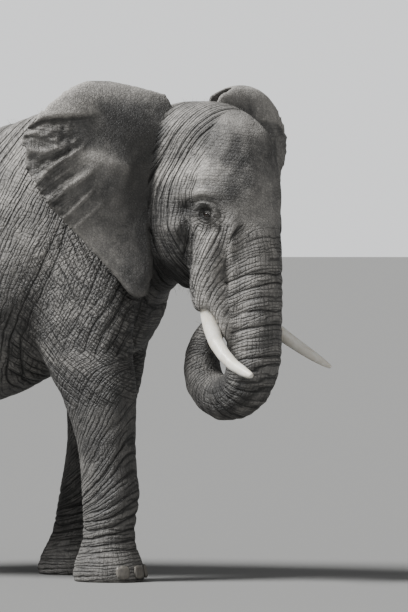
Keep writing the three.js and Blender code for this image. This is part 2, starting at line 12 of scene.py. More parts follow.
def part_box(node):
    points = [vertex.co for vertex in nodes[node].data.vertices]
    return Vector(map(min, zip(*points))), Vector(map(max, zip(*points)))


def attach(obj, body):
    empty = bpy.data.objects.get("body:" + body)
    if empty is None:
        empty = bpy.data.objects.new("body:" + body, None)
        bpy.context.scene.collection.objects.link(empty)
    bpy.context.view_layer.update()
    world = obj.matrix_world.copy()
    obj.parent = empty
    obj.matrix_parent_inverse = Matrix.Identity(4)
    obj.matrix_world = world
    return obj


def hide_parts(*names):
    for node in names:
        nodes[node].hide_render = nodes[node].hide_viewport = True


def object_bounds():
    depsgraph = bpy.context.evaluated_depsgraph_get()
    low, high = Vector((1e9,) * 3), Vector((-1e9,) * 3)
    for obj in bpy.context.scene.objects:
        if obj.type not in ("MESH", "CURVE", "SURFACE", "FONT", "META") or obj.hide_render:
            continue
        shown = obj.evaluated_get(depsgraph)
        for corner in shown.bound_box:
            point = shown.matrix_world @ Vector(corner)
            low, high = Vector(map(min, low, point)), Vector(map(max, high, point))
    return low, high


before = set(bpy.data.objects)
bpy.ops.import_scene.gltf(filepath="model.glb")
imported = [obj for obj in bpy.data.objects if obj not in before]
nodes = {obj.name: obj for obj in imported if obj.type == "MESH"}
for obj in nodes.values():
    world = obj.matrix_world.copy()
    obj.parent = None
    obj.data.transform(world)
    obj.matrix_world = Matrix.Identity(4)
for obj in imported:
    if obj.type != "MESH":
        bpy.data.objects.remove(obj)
cad_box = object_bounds()

# ---------- places

HEAD_TURN = math.radians(-22)
FORE_FOOT = {"ahead": 0.014, "out": 0.320}
HEAD_FROM_FOOT_LINE = np.array([0.382, -0.080, 0.0])

foot_low, foot_high = (np.array(corner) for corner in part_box("foot_fore_right"))
BODY_AT = (foot_low + foot_high) / 2 + [-FORE_FOOT["ahead"], FORE_FOOT["out"], 0]
BODY_AT[2] = 0
HEAD_AT = BODY_AT + HEAD_FROM_FOOT_LINE
HEAD_AXES = np.array([
    [math.cos(HEAD_TURN), math.sin(HEAD_TURN), 0],
    [-math.sin(HEAD_TURN), math.cos(HEAD_TURN), 0],
    [0, 0, 1],
])

SIDES = {"right": -1, "left": 1}
WEIGHT_LEVELS = 60
BARE = ("nail", "eye", "tusk", "tail_tuft")
FLESH = [name for name in nodes if not name.startswith(BARE)]


def unit(direction):
    return direction / np.linalg.norm(direction)


def in_head(points):
    """Points measured from the head: forward, to its left, and up from the floor."""
    return (points - HEAD_AT) @ HEAD_AXES.T


def from_head(points):
    return np.asarray(points) @ HEAD_AXES + HEAD_AT


# ---------- meshes


def new_piece(name, mesh, material=None):
    mesh.name = name
    piece = bpy.data.objects.new(name, mesh)
    bpy.context.collection.objects.link(piece)
    if material:
        mesh.materials.clear()
        mesh.materials.append(material)
    return piece


def mesh_of(form, name):
    mesh = bpy.data.meshes.new(name)
    form.to_mesh(mesh)
    form.free()
    return mesh


def read(items, key, width, kind=np.float32):
    """A row of numbers for each of a mesh's items."""
    flat = np.empty(len(items) * width, kind)
    items.foreach_get(key, flat)
    return flat.reshape(-1, width)


def places_of(mesh):
    return read(mesh.vertices, "co", 3).astype(np.float64)


def outward_of(mesh):
    return read(mesh.vertex_normals, "vector", 3).astype(np.float64)


def place(mesh, points):
    mesh.vertices.foreach_set("co", points.astype(np.float32).ravel())
    mesh.update()


def smooth_shaded(mesh):
    mesh.polygons.foreach_set("use_smooth", np.ones(len(mesh.polygons), bool))


def with_modifier(holder, kind, inputs=None, **settings):
    """An object's mesh with one more modifier applied. The object goes."""
    modifier = holder.modifiers.new(kind, kind)
    for key, value in settings.items():
        setattr(modifier, key, value)
    for key, value in (inputs or {}).items():
        modifier[key] = value
    depsgraph = bpy.context.evaluated_depsgraph_get()
    mesh = bpy.data.meshes.new_from_object(holder.evaluated_get(depsgraph))
    bpy.data.objects.remove(holder)
    return mesh


def graded(mesh, levels, most):
    """An object of the mesh with a vertex group, where each point weighs its level over the most."""
    holder = new_piece("graded", mesh)
    holder.vertex_groups.clear()
    group = holder.vertex_groups.new(name="graded")
    for level in range(1, most + 1):
        group.add(np.flatnonzero(levels == level).tolist(), level / most, "REPLACE")
    return holder


def keep_vector(mesh, name, values):
    layer = mesh.attributes.new(name, "FLOAT_VECTOR", "POINT")
    layer.data.foreach_set("vector", np.asarray(values, np.float32).ravel())


class Neighbours:
    """Evens values out along a mesh's edges."""

    def __init__(self, mesh):
        edges = read(mesh.edges, "vertices", 2, np.int32)
        self.start = np.concatenate([edges[:, 0], edges[:, 1]])
        self.end = np.concatenate([edges[:, 1], edges[:, 0]])
        self.count = len(mesh.vertices)
        self.share = 1 / np.maximum(np.bincount(self.start, minlength=self.count), 1)

    def mean(self, values):
        if values.ndim == 1:
            return np.bincount(self.start, values[self.end], self.count) * self.share
        return np.stack([self.mean(column) for column in values.T], axis=1)

    def evened(self, values, rounds, strength=0.9):
        for _ in range(rounds):
            values = values + (self.mean(values) - values) * strength
        return values


def evened_places(mesh, rounds):
    """The mesh's places after this many rounds of evening, a number that may differ from point to point."""
    most = int(rounds.max())
    holder = graded(mesh.copy(), np.round(rounds / most * WEIGHT_LEVELS).astype(int), WEIGHT_LEVELS)
    result = with_modifier(holder, "SMOOTH", factor=0.5, iterations=most, vertex_group="graded")
    points = places_of(result)
    bpy.data.meshes.remove(result)
    return points


# ---------- shaping


def ramp(values, start, end):
    t = np.clip((values - start) / (end - start), 0, 1)
    return t * t * (3 - 2 * t)


def bell(values, width):
    return np.exp(-(values / width) ** 2)


def mound(points, centre, size):
    """1 at the centre, fading out over that size along each axis."""
    away = (points - np.array(centre)) / np.array(size)
    return np.exp(-(away ** 2).sum(axis=1))


def on_both_sides(points, rows):
    """The sum of mounds on both sides of the head, from rows of place, size and height."""
    at = in_head(points)
    total = np.zeros(len(points))
    for centre, size, height in rows:
        for turn in SIDES.values():
            total += height * mound(at, [centre[0], turn * centre[1], centre[2]], size)
    return total


def along_line(points, line):
    """Distance of each point from a line of corners, and how far along it that is, in metres."""
    line = np.asarray(line, float)
    best = np.full(len(points), np.inf)
    run = np.zeros(len(points))
    total = 0
    for start, end in zip(line[:-1], line[1:]):
        step = end - start
        length = np.linalg.norm(step)
        t = np.clip((points - start) @ step / length ** 2, 0, 1)
        gap = np.linalg.norm(points - (start + t[:, None] * step), axis=1)
        closer = gap < best
        best[closer] = gap[closer]
        run[closer] = total + t[closer] * length
        total += length
    return best, run


class Rough:
    """Smooth seeded noise from sums of waves in seeded directions."""

    def __init__(self, seed, size, waves=9):
        maker = np.random.default_rng(seed)
        directions = maker.normal(size=(waves, 3))
        directions /= np.linalg.norm(directions, axis=1)[:, None]
        self.waves = directions * (2 * math.pi / size) * maker.uniform(0.6, 1.5, (waves, 1))
        self.phases = maker.uniform(0, 2 * math.pi, waves)

    def __call__(self, points):
        return np.sin(points @ self.waves.T + self.phases).sum(axis=1) / math.sqrt(len(self.phases))


# ---------- the hide's first form

VOXEL = 0.010
OVERLAP = 0.001
SAME_PLACE = 2e-5
ROUNDING = {
    "torso": 260, "neck": 160, "head": 60, "jaw": 40, "ear": 30, "trunk_upper": 70, "trunk_middle": 60,
    "trunk_bend": 44, "trunk_curl": 30, "trunk_tip": 8, "leg": 130, "foot": 24, "tail": 14,
}
SOLE = 0.004
# Where the tusk's sheath and the brow run into the trunk: place, size and rounds.
EXTRA_ROUNDING = [
    ((0.505, 0.185, 1.86), (0.075, 0.08, 0.32), 240),
    ((0.560, 0.165, 2.03), (0.080, 0.07, 0.08), 420),
]


def welded(node):
    """A node's shape with its triangles joined along their edges."""
    form = bmesh.new()
    form.from_mesh(nodes[node].data)
    bmesh.ops.remove_doubles(form, verts=form.verts, dist=SAME_PLACE)
    return form


def remeshed(mesh, voxel):
    return with_modifier(new_piece("remeshed", mesh), "REMESH", mode="VOXEL", voxel_size=voxel)


def flesh_shell():
    """Every flesh node swollen a hair so that they overlap, and which node each face came from."""
    whole = bmesh.new()
    owner = []
    for index, name in enumerate(FLESH):
        part = welded(name)
        part.normal_update()
        for vertex in part.verts:
            vertex.co += vertex.normal * OVERLAP
        mesh = mesh_of(part, "flesh")
        owner += [index] * len(mesh.polygons)
        whole.from_mesh(mesh)
        bpy.data.meshes.remove(mesh)
    tree = BVHTree.FromBMesh(whole)
    return mesh_of(whole, "flesh"), tree, np.array(owner)


def rounding_of(name):
    return next(rounds for start, rounds in ROUNDING.items() if name.startswith(start))


def rounded(mesh, near, rounds):
    """Places with the flat faces evened away, and the fullness that this costs given back."""
    before = places_of(mesh)
    after = evened_places(mesh, rounds)
    place(mesh, after)
    outward = outward_of(mesh)
    lost = near.evened(((before - after) * outward).sum(axis=1), 90)
    after = after + outward * (lost * (rounds > 0))[:, None]
    on_floor = before[:, 2] < SOLE
    after[on_floor, 2] = before[on_floor, 2]
    after[:, 2] = np.maximum(after[:, 2], 0)
    return after


shell, shell_tree, shell_owner = flesh_shell()
hide_mesh = remeshed(shell, VOXEL)
points = places_of(hide_mesh)
near = Neighbours(hide_mesh)
part = shell_owner[[shell_tree.find_nearest(point)[2] for point in points]]
rounds = near.evened(np.array([rounding_of(name) for name in FLESH], float)[part], 14)
beside_trunk = in_head(points) * [1, 0, 1] + [0, 1, 0] * np.abs(in_head(points))
for centre, size, extra in EXTRA_ROUNDING:
    rounds += extra * mound(beside_trunk, centre, size)
rounds[points[:, 2] < SOLE] = 0
points = rounded(hide_mesh, near, rounds)
place(hide_mesh, points)

# ---------- where each kind of skin is


def share_of(*starts, spread):
    """1 on the nodes whose names start so, fading out over their edges."""
    chosen = np.array([name.startswith(starts) for name in FLESH], float)
    return near.evened(chosen[part], spread)


on_ear = {side: share_of(f"ear_{side}", spread=4) for side in SIDES}
on_trunk = share_of("trunk", spread=70)
on_leg = share_of("leg", "foot", spread=34)
on_head = share_of("head", "jaw", spread=18)
on_torso = share_of("torso", spread=34)
on_neck = share_of("neck", spread=18)

# ---------- forms of the head

EYES = {side: np.mean([list(corner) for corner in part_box(f"eye_{side}")], axis=0) for side in SIDES}
EYE_RADIUS = (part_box("eye_right")[1][2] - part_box("eye_right")[0][2]) / 2
EYE_AT = {"f": in_head(EYES["right"])[0], "s": abs(in_head(EYES["right"])[1]), "z": EYES["right"][2]}

# Swellings and hollows of one side of the head: place, size and height, in metres.
HEAD_FORMS = [
    ((0.415, 0.31, 2.245), (0.12, 0.09, 0.042), 0.026),  # brow over the eye
    ((0.290, 0.32, 2.150), (0.060, 0.09, 0.055), -0.034),  # hollow behind the eye
    ((0.430, 0.30, 2.045), (0.07, 0.09, 0.030), -0.014),  # hollow under the eye
    ((0.180, 0.33, 2.440), (0.12, 0.12, 0.120), -0.030),  # temple hollow
    ((0.380, 0.30, 2.350), (0.15, 0.12, 0.075), 0.020),  # temple swelling
    ((0.200, 0.34, 2.060), (0.15, 0.10, 0.070), 0.018),  # cheekbone
    ((0.110, 0.30, 1.880), (0.13, 0.12, 0.140), 0.022),  # cheek
    ((0.560, 0.12, 2.560), (0.12, 0.12, 0.160), 0.012),  # forehead
    ((0.570, 0.185, 2.020), (0.055, 0.06, 0.070), 0.016),  # root of the trunk
]
# Swellings, and a groove where the height is below 0, along lines: corners, half width and height.
HEAD_LINES = [
    # fullness of the tusk's sheath, between the sheath and the trunk, and back of the sheath
    ([(0.43, 0.24, 1.98), (0.43, 0.22, 1.85), (0.44, 0.20, 1.70)], 0.050, 0.016),
    ([(0.525, 0.19, 2.10), (0.522, 0.18, 1.84), (0.515, 0.16, 1.62)], 0.040, 0.030),
    ([(0.30, 0.33, 2.07), (0.275, 0.31, 1.93), (0.29, 0.27, 1.78)], 0.028, -0.026),
]


def shape_head(points, outward):
    at = in_head(points)
    push = on_both_sides(points, HEAD_FORMS)
    for line, width, height in HEAD_LINES:
        for turn in SIDES.values():
            gap, _ = along_line(at, [(f, turn * s, z) for f, s, z in line])
            push += height * bell(gap, width)
    return points + outward * push[:, None]


points = shape_head(points, outward_of(hide_mesh))
place(hide_mesh, points)

# ---------- how the creases run

# The trunk's middle line in the head's plane: its hanging part, and its curl's reach from the curl's middle
# at each turn in degrees.
TRUNK_DROP = [
    (0.420, 2.230), (0.468, 2.110), (0.510, 1.980), (0.530, 1.850), (0.541, 1.700), (0.545, 1.530),
    (0.543, 1.400),
]
CURL_AT = (0.332, 1.285)
CURL_REACH = [
    (0, 0.209), (-45, 0.216), (-90, 0.225), (-135, 0.209), (-180, 0.182), (-225, 0.192), (-243, 0.196),
]
# How far apart the rings are at each distance along the trunk.
RING_SPACING = [
    (0, 0.080), (0.35, 0.088), (0.6, 0.074), (0.85, 0.056), (1.1, 0.044), (1.5, 0.034), (2.2, 0.028),
]
EAR_SPREAD = {"right": math.radians(60), "left": math.radians(84)}
EAR_ROOT = (0.060, 0.318)


def trunk_line():
    line = [(f, 0, z) for f, z in TRUNK_DROP]
    turns, reaches = zip(*reversed(CURL_REACH))
    for turn in range(-10, -241, -10):
        reach = np.interp(turn, turns, reaches)
        angle = math.radians(turn)
        line.append((CURL_AT[0] + reach * math.cos(angle), 0, CURL_AT[1] + reach * math.sin(angle)))
    return np.array(line)


def trunk_places(at):
    """Along the trunk from its root, round it from its outer side, and how far round: 0 outside, 2 inside."""
    line = trunk_line()
    gap, run = along_line(at, line)
    lengths = np.concatenate([[0], np.cumsum(np.linalg.norm(np.diff(line, axis=0), axis=1))])

    def on_line(run):
        return np.stack([np.interp(run, lengths, column) for column in line.T], axis=1)

    middle = on_line(run)
    ahead = on_line(run + 0.01) - on_line(run - 0.01)
    ahead /= np.linalg.norm(ahead, axis=1)[:, None] + 1e-9
    away = at - middle
    outer = away[:, 0] * -ahead[:, 2] + away[:, 2] * ahead[:, 0]
    turn = np.arctan2(np.abs(at[:, 1]), outer)
    return run, turn * gap, 1 - np.cos(turn)


def ear_places(at, side):
    """Outward along the ear from its root, and up."""
    spread, flip = EAR_SPREAD[side], SIDES[side]
    away = at[:, :2] - [EAR_ROOT[0], flip * EAR_ROOT[1]]
    return away @ [-math.cos(spread), flip * math.sin(spread)], at[:, 2]


# Where the crease under the ear's thick top edge runs: how far out, and how high.
EAR_BAND = [(0.30, 2.700), (0.44, 2.686), (0.56, 2.680), (0.67, 2.668), (0.78, 2.600), (0.86, 2.500)]
# Each fold's height on the ear 0.55 m out, how steeply it falls going outward, its width, its height and its
# inner end.
EAR_RIDGES = [
    (2.610, 0.05, 0.020, 0.010, 0.52),
    (2.519, 0.45, 0.019, 0.015, 0.47),
    (2.433, 0.74, 0.018, 0.020, 0.44),
    (2.352, 0.74, 0.013, 0.009, 0.47),
    (2.258, 0.70, 0.030, 0.026, 0.38),
    (2.175, 0.85, 0.013, 0.008, 0.44),
    (2.098, 1.10, 0.024, 0.020, 0.38),
    (1.987, 0.85, 0.020, 0.012, 0.32),
]
EAR_RIDGES_AT = 0.55
EAR_FOLD_STRENGTH = {"right": 1.0, "left": 0.30}


def ear_back(side):
    """Square to an ear's plane, out of its rear face, in the head's frame."""
    spread = EAR_SPREAD[side]
    return np.array([-math.sin(spread), -SIDES[side] * math.cos(spread), 0])


def from_ear_root(side):
    return np.array([EAR_ROOT[0], SIDES[side] * EAR_ROOT[1], 0])


def above_band(reach, up):
    """Height above the crease that runs under the ear's thick top edge."""
    reaches, heights = zip(*EAR_BAND)
    return up - np.interp(reach, reaches, heights)


def ear_level(reach, up):
    """The height 0.55 m out of the fold that would run through a point."""
    levels, falls = zip(*sorted((level, fall) for level, fall, *_ in EAR_RIDGES))
    level = up
    for _ in range(4):
        level = up + np.interp(level, levels, falls) * (reach - EAR_RIDGES_AT)
    return level


def leg_axis(points, names):
    """The middle of a leg at each height, from its own skin."""
    chosen = points[np.isin(part, [FLESH.index(name) for name in names])]
    heights = np.arange(0, 1.6, 0.05)
    bins = np.digitize(chosen[:, 2], heights) - 1
    rows = [chosen[bins == index].mean(axis=0) for index in range(len(heights)) if (bins == index).sum() > 20]
    return np.array(rows)


# Where the flank turns round into the rump, from the fore feet; how widely; and the top of that place.
RUMP = {"at": -1.35, "radius": 0.62, "top": 2.6}
# How steeply the folds of a fore leg climb forward at each height.
LEG_SLANTS = [(0.30, 0.10), (0.72, 1.35), (1.05, 1.35), (1.30, 0.60)]
HIND_SLANT = -0.35
LEG_REACH = 0.34
LEVELS = np.linspace(0, 1.6, 161)
RUNS = np.linspace(-0.2, 2.4, 261)


def valley(turns):
    """1 at each whole turn, rounding up to 0 between them."""
    return (0.5 + 0.5 * np.cos(2 * math.pi * turns)) ** 2


def crease_fields(points):
    """Fields of creases in three layers that may cross. Each field: its share, its place across and along its
    creases in metres, its fold count, the folds' spacing and depth in metres, and how strong its strands and
    crossings are."""
    at = in_head(points)
    f, s, z = at[:, 0], np.abs(at[:, 1]), at[:, 2]
    x, y = points[:, 0] - BODY_AT[0], points[:, 1] - BODY_AT[1]
    height = points[:, 2]
    layers = {"a": [], "b": [], "c": []}

    def lay(layer, share, across, along, spacing, fold, strands, crossings, count=None):
        count = across / spacing if count is None else count
        layers[layer].append((share, across, along, count, spacing, fold, strands, crossings))

    # The trunk's rings, which sag on its inner side.
    run, round_trunk, droop = trunk_places(at)
    inner = ramp(droop, 1.2, 1.9)
    upper = ramp(run, 0.08, 0.26)
    ring = run - 0.055 * droop
    counts = np.cumsum(0.01 / np.interp(RUNS, *zip(*RING_SPACING)))
    depth = np.interp(run, [0, 0.3, 1.0, 1.9], [0.003, 0.0065, 0.006, 0.003]) * (1 - 0.6 * inner)
    spacing = np.interp(ring, *zip(*RING_SPACING))
    lay("a", on_trunk * upper, ring, round_trunk, spacing, depth, 0.9 - 0.4 * inner, 0.72,
        np.interp(ring, RUNS, counts))

    # The side of the face, the tusk's sheath, round the eye, and the brow.
    face = on_head * (1 - ramp(on_trunk * upper, 0.08, 0.45))
    full_from, none_from = np.interp(z, [2.1, 2.5], [0.26, 0.30]), np.interp(z, [2.1, 2.5], [0.38, 0.46])
    rise = np.clip(z - 2.12, -0.6, 0.36)
    bowed = f - 0.9 * rise ** 2 - 0.65 * (z - 2.12 - rise)
    deep = np.interp(z, [2.2, 2.45], [0.013, 0.007])
    lay("b", face * ramp(f, none_from, full_from), bowed, z, 0.046, deep, 1, 0.40)
    sheath = face * ramp(f, 0.20, 0.30) * ramp(z, 2.10, 2.00)
    lay("c", sheath, 0.93 * f - 0.37 * z, z, 0.052, 0.004, 1, 0.45)
    eye_gap = np.hypot(0.8 * (f - EYE_AT["f"]), 1.15 * (z - EYE_AT["z"]))
    round_eye = np.arctan2(z - EYE_AT["z"], f - EYE_AT["f"]) * 0.08
    lay("a", 1.3 * face * ramp(eye_gap, 0.15, 0.09), eye_gap, round_eye, 0.030, 0.001, 0.6, 0.6)
    brow = face * ramp(f, 0.16, 0.40) * ramp(z, 2.14, 2.26)
    lay("c", 0.8 * brow, z + 0.15 * f + 0.5 * (s - 0.2) ** 2, f + s, 0.060, 0.001, 0.22, 0.26)

    # The flank, unwrapped round the rump and fainter where that unwrap's lines meet; the shoulder, the
    # bunched skin behind the elbow, and the neck.
    upper_leg = on_leg * ramp(height, 0.85, 1.15)
    shoulder = np.maximum(on_torso, upper_leg) * mound(points - BODY_AT, [-0.02, 0, 1.50], [0.42, 9, 0.52])
    elbow = ramp(on_torso + on_leg, 0.3, 0.6) * mound(points - BODY_AT, [-0.38, 0, 1.20], [0.17, 9, 0.28])
    elbow *= ramp(on_head, 0.2, 0)
    behind = np.maximum(RUMP["at"] - x, 0)
    round_rump = math.pi / 2 - np.arctan2(np.abs(y) + 1e-6, behind)
    backward = np.maximum(x, RUMP["at"]) - RUMP["radius"] * np.where(behind > 0, round_rump, 0)
    from_meeting = np.hypot(x - RUMP["at"], y) + 2 * np.abs(height - RUMP["top"]) * (height < RUMP["top"])
    plain = 1 - 0.9 * ramp(from_meeting, 0.50, 0.05)
    flank = on_torso * (1 - 0.6 * shoulder) * (1 - 0.7 * elbow)
    lay("a", flank, 0.91 * backward - 0.41 * height, 0.41 * backward + 0.91 * height + 0.4 * np.abs(y),
        0.055, 0.008 * plain, plain, 0.7 * plain)
    from_neck, turn = np.hypot(x - 0.95, height - 2.55), np.arctan2(height - 2.55, x - 0.95)
    lay("b", 1.1 * shoulder, from_neck, turn * 1.2, 0.060, 0.006, 1, 1)
    lay("c", 1.2 * elbow, 0.80 * x + 0.60 * height, 0.60 * x - 0.80 * height, 0.060, 0.016, 1, 0.3)
    lay("c", on_neck, x + 0.3 * height, height, 0.070, 0.014, 1, 0.5)

    # The legs, where the fore legs' folds climb forward and the wrists' are deeper.
    for name in ("fore_right", "fore_left", "hind_right", "hind_left"):
        rows = leg_axis(points, [f"leg_{name}", f"foot_{name}"])
        ahead, aside = (points[:, axis] - np.interp(height, rows[:, 2], rows[:, axis]) for axis in (0, 1))
        share = on_leg * (np.hypot(ahead, aside) < LEG_REACH) * (np.abs(ahead) < LEG_REACH)
        slants = np.interp(LEVELS, *zip(*LEG_SLANTS)) * (1 if name.startswith("fore") else HIND_SLANT)
        climb = np.interp(height, LEVELS, np.cumsum((LEVELS[1] - LEVELS[0]) / np.hypot(1, slants)))
        tilt = np.interp(height, LEVELS, slants / np.hypot(1, slants))
        wrist = ramp(height, 0.56, 0.46) * ramp(height, 0.16, 0.24)
        lay("c", share * ramp(height, 1.5, 1.1), climb - tilt * ahead, np.arctan2(aside, ahead) * 0.16,
            0.047, 0.005 + 0.006 * wrist, 1, 0.55)

    for side in SIDES:
        reach, up = ear_places(at, side)
        rayed = ramp(reach, 0.34, 0.60) * ramp(up, 1.85, 2.05) * ramp(above_band(reach, up), 0.02, -0.02)
        lay("a", 1.5 * on_ear[side], 0.8 * ear_level(reach, up), reach, 0.05, 0,
            0.5 * rayed, 0.12 + 0.3 * rayed)
    return layers


FOLD_CHOICES = 997
LAYER_SEEDS = (11, 31, 51)


def lay_creases(fields, seed):
    """One layer: how the strongest field's creases run, and how deep folds, strands and crossings are."""
    shares = np.stack([field[0] for field in fields])
    first = shares.argmax(axis=0)
    ordered = np.sort(shares, axis=0)
    most, next_most = ordered[-1], ordered[-2]
    clear = ramp((most - next_most) / np.maximum(most, 1e-6), 0.0, 0.3) * ramp(most, 0.10, 0.40)

    def chosen(index):
        rows = np.stack([np.broadcast_to(field[index], len(first)) for field in fields])
        return np.take_along_axis(rows, first[None], axis=0)[0]

    across, along, count, spacing, depth, strands, crossings = (chosen(index) for index in range(1, 8))
    lengthwise = np.stack([across, 0.4 * along, 0 * along], axis=1)
    count = count + 0.30 * Rough(seed, 0.22)(lengthwise) + 0.10 * Rough(seed + 1, 0.08)(lengthwise)
    strengths = np.random.default_rng(seed).uniform(0.25, 1.15, FOLD_CHOICES)
    strength = strengths[(np.round(count).astype(int) + 131 * first) % FOLD_CHOICES]
    strength = np.clip(strength * (0.7 + 0.4 * Rough(seed + 2, 0.30)(lengthwise)), 0.08, 1.3)
    return across, along, count, spacing, depth * clear * strength, strands * clear, crossings * clear


fields = crease_fields(points)
layers = {name: lay_creases(rows, seed) for (name, rows), seed in zip(fields.items(), LAYER_SEEDS)}
outward = outward_of(hide_mesh)
for _, _, count, _, fold, _, _ in layers.values():
    points = points - outward * (fold * valley(count))[:, None]

# ---------- the ears' folds


def from_lit_fold(flat):
    """How far a place on the ear is from its one swelling that catches the light."""
    return along_line(flat, [(0.43, 2.462, 0), (0.32, 2.440, 0), (0.19, 2.395, 0)])[0]


def fold_ears(points):
    """Slanting folds out to the rear edge and a thick top edge, which both faces of an ear share."""
    at = in_head(points)
    for side in SIDES:
        reach, up = ear_places(at, side)
        flat = np.stack([reach, up, 0 * up], axis=1)
        level = ear_level(reach, up) + 0.010 * Rough(21, 0.30)(flat)
        push = 0.010 * Rough(22, 0.45)(flat)
        for middle, _, width, height, end in EAR_RIDGES:
            widths = np.where(level > middle, 1.2 * width, 0.9 * width)
            push += height * bell(level - middle, widths) * ramp(reach, end - 0.06, end + 0.06)
        small = Rough(23, 0.060)(np.stack([level * 1.4, 0.6 * reach, 0 * up], axis=1))
        small = small + Rough(24, 0.045)(flat)
        push += 0.0044 * small * ramp(reach, 0.40, 0.56) * ramp(level, 1.85, 2.05) * ramp(up, 2.70, 2.62)
        push += 0.012 * bell(from_lit_fold(flat), 0.042)
        over = above_band(reach, up)
        push += ramp(reach, 0.30, 0.50) * (0.026 * ramp(over, -0.012, 0.014) - 0.014 * bell(over, 0.014))
        push *= EAR_FOLD_STRENGTH[side] * np.clip(on_ear[side], 0, 1) * ramp(reach, 0.04, 0.20)
        at = at - ear_back(side) * push[:, None]
    return from_head(at)


points = fold_ears(points)
place(hide_mesh, points)

# ---------- where dust and painted light lie, and where painted shade darkens the skin

# Pale places on each side of the head, dust with painted light where the sun would fall: place, size and
# amount.
DUST_AND_LIGHT = [
    ((0.35, 0.31, 2.360), (0.20, 0.16, 0.065), 1.45),
    ((0.10, 0.33, 2.36), (0.09, 0.12, 0.06), 0.4),
    ((0.40, 0.26, 1.84), (0.11, 0.12, 0.22), 0.85),
    ((0.50, 0.15, 1.75), (0.14, 0.20, 0.36), 0.42),
    ((0.20, 0.12, 1.16), (0.12, 0.14, 0.12), 0.30),
]
# Dark places on each side of the head, painted shade in the hollows round and behind the eye, behind the
# ear's front edge, under the jaw, on the cheek and inside the trunk's curl, and darker patches on the
# forehead and front of the face: place, size and amount.
SHADED_AND_DARK = [
    ((EYE_AT["f"] - 0.005, EYE_AT["s"], EYE_AT["z"] + 0.004), (0.060, 0.08, 0.050), 1.3),
    ((0.300, 0.32, 2.165), (0.08, 0.10, 0.048), 1.2),
    ((-0.03, 0.33, 2.300), (0.07, 0.12, 0.280), 1.5),
    ((0.28, 0.30, 2.00), (0.05, 0.10, 0.10), 0.5),
    ((0.57, 0.20, 2.46), (0.10, 0.14, 0.10), 1.00),
    ((0.46, 0.18, 2.60), (0.17, 0.18, 0.08), 0.60),
    ((0.12, 0.15, 1.80), (0.22, 0.24, 0.14), 0.7),
    ((0.12, 0.33, 2.02), (0.12, 0.12, 0.16), 0.30),
    ((0.03, 0.12, 1.66), (0.15, 0.34, 0.17), 0.9),
    ((0.38, 0.12, 1.09), (0.26, 0.20, 0.12), 0.95),
    ((0.55, 0.20, 2.27), (0.09, 0.12, 0.10), 0.85),
]


def dust_light_and_shade(points):
    """How much pale dust and painted light, and how much painted shade and darkening, the skin has at each
    point.
    """
    at = in_head(points)
    wavy = 1 + 0.35 * Rough(41, 0.12)(points)
    dust_and_light = on_both_sides(points, DUST_AND_LIGHT) * wavy
    dark = on_both_sides(points, SHADED_AND_DARK) * wavy
    for side in SIDES:
        reach, up = ear_places(at, side)
        ear = np.clip(on_ear[side], 0, 1)
        flat = np.stack([reach, up, 0 * up], axis=1)
        # Paler: the thick top edge, the ear's top and the lit fold as dust with painted light where the sun
        # would fall, and the lower ear paler.
        band = ramp(above_band(reach, up), -0.005, 0.015) * ramp(reach, 0.30, 0.46)
        top = 0.7 * ramp(up, 2.74, 2.84)
        lit = bell(from_lit_fold(flat), 0.040)
        rim = ramp(reach, 0.10, 0.30) * ramp(up, 2.10, 1.95) * ramp(reach, 0.10, 0.25)
        behind_it = (at - from_ear_root(side)) @ ear_back(side)
        dust_and_light += ear * ramp(behind_it, 0.13, 0.09) * (2.0 * band + top + lit + 0.45 * rim)
        # Painted shade on the ear: its shaded part near the root, a near-black painted shadow along its front
        # edge by the head, and a darker face overall.
        dark += ear * 0.75 * np.exp(-((reach - 0.22) / 0.16) ** 2 - ((up - 2.62) / 0.10) ** 2)
        dark += 2.2 * ear * ramp(reach, 0.115, 0.055) * ramp(up, 1.75, 2.00) * ramp(up, 2.66, 2.58)
        dark += ear * (0.20 + 0.30 * ramp(reach, 0.45, 0.20) * ramp(up, 1.85, 2.05))
    height = points[:, 2]
    # Dust on the feet; dust with painted light on the upper torso; painted shade on the belly; and the legs
    # darker below the elbow.
    dust_and_light += 0.30 * ramp(height, 0.5, 0.1) + 0.30 * on_torso * ramp(height, 1.35, 2.0)
    dark += (0.60 * np.clip(on_leg, 0, 1) * ramp(height, 1.35, 1.05)
             + 0.60 * on_torso * ramp(height, 1.25, 1.05))
    return np.clip(dust_and_light, 0, 1), np.clip(dark, 0, 1)


# ---------- thinning out

MOST_TRIANGLES = 172000
KEEP_LEVELS = 10
FULL_FOLD = 0.010


def thinned(mesh, keep):
    """Fewer triangles, with most of them left where keep is high."""
    levels = np.minimum(np.floor(keep * KEEP_LEVELS) + 1, KEEP_LEVELS)
    ratio = MOST_TRIANGLES / (2 * len(mesh.polygons))
    return with_modifier(graded(mesh, levels, KEEP_LEVELS), "DECIMATE", ratio=ratio, vertex_group="graded",
                         vertex_group_factor=1.0, invert_vertex_group=True)


for name, (across, along, count, spacing, fold, strands, crossings) in layers.items():
    keep_vector(hide_mesh, f"lie_{name}", np.stack([across, along, count], axis=1))
    keep_vector(hide_mesh, f"depths_{name}", np.stack([fold / FULL_FOLD, strands, crossings], axis=1))
keep_vector(hide_mesh, "spacings", np.stack([layer[3] for layer in layers.values()], axis=1))
# dark holds the painted shade and the darker patches.
dust_and_light, dark = dust_light_and_shade(points)
hollow = near.evened(((near.mean(points) - points) * outward_of(hide_mesh)).sum(axis=1), 6) * 1000
# Kept per point: the hollow's depth, the dust with painted light, and the painted shade with darker patches.
keep_vector(hide_mesh, "hollow_dust_light_shade", np.stack([hollow, dust_and_light, dark], axis=1))
keep = np.clip(0.36 + on_head + on_trunk + on_ear["right"] + on_ear["left"] + 0.18 * on_leg, 0, 0.85)
hide_mesh = thinned(hide_mesh, keep)

# ---------- lids

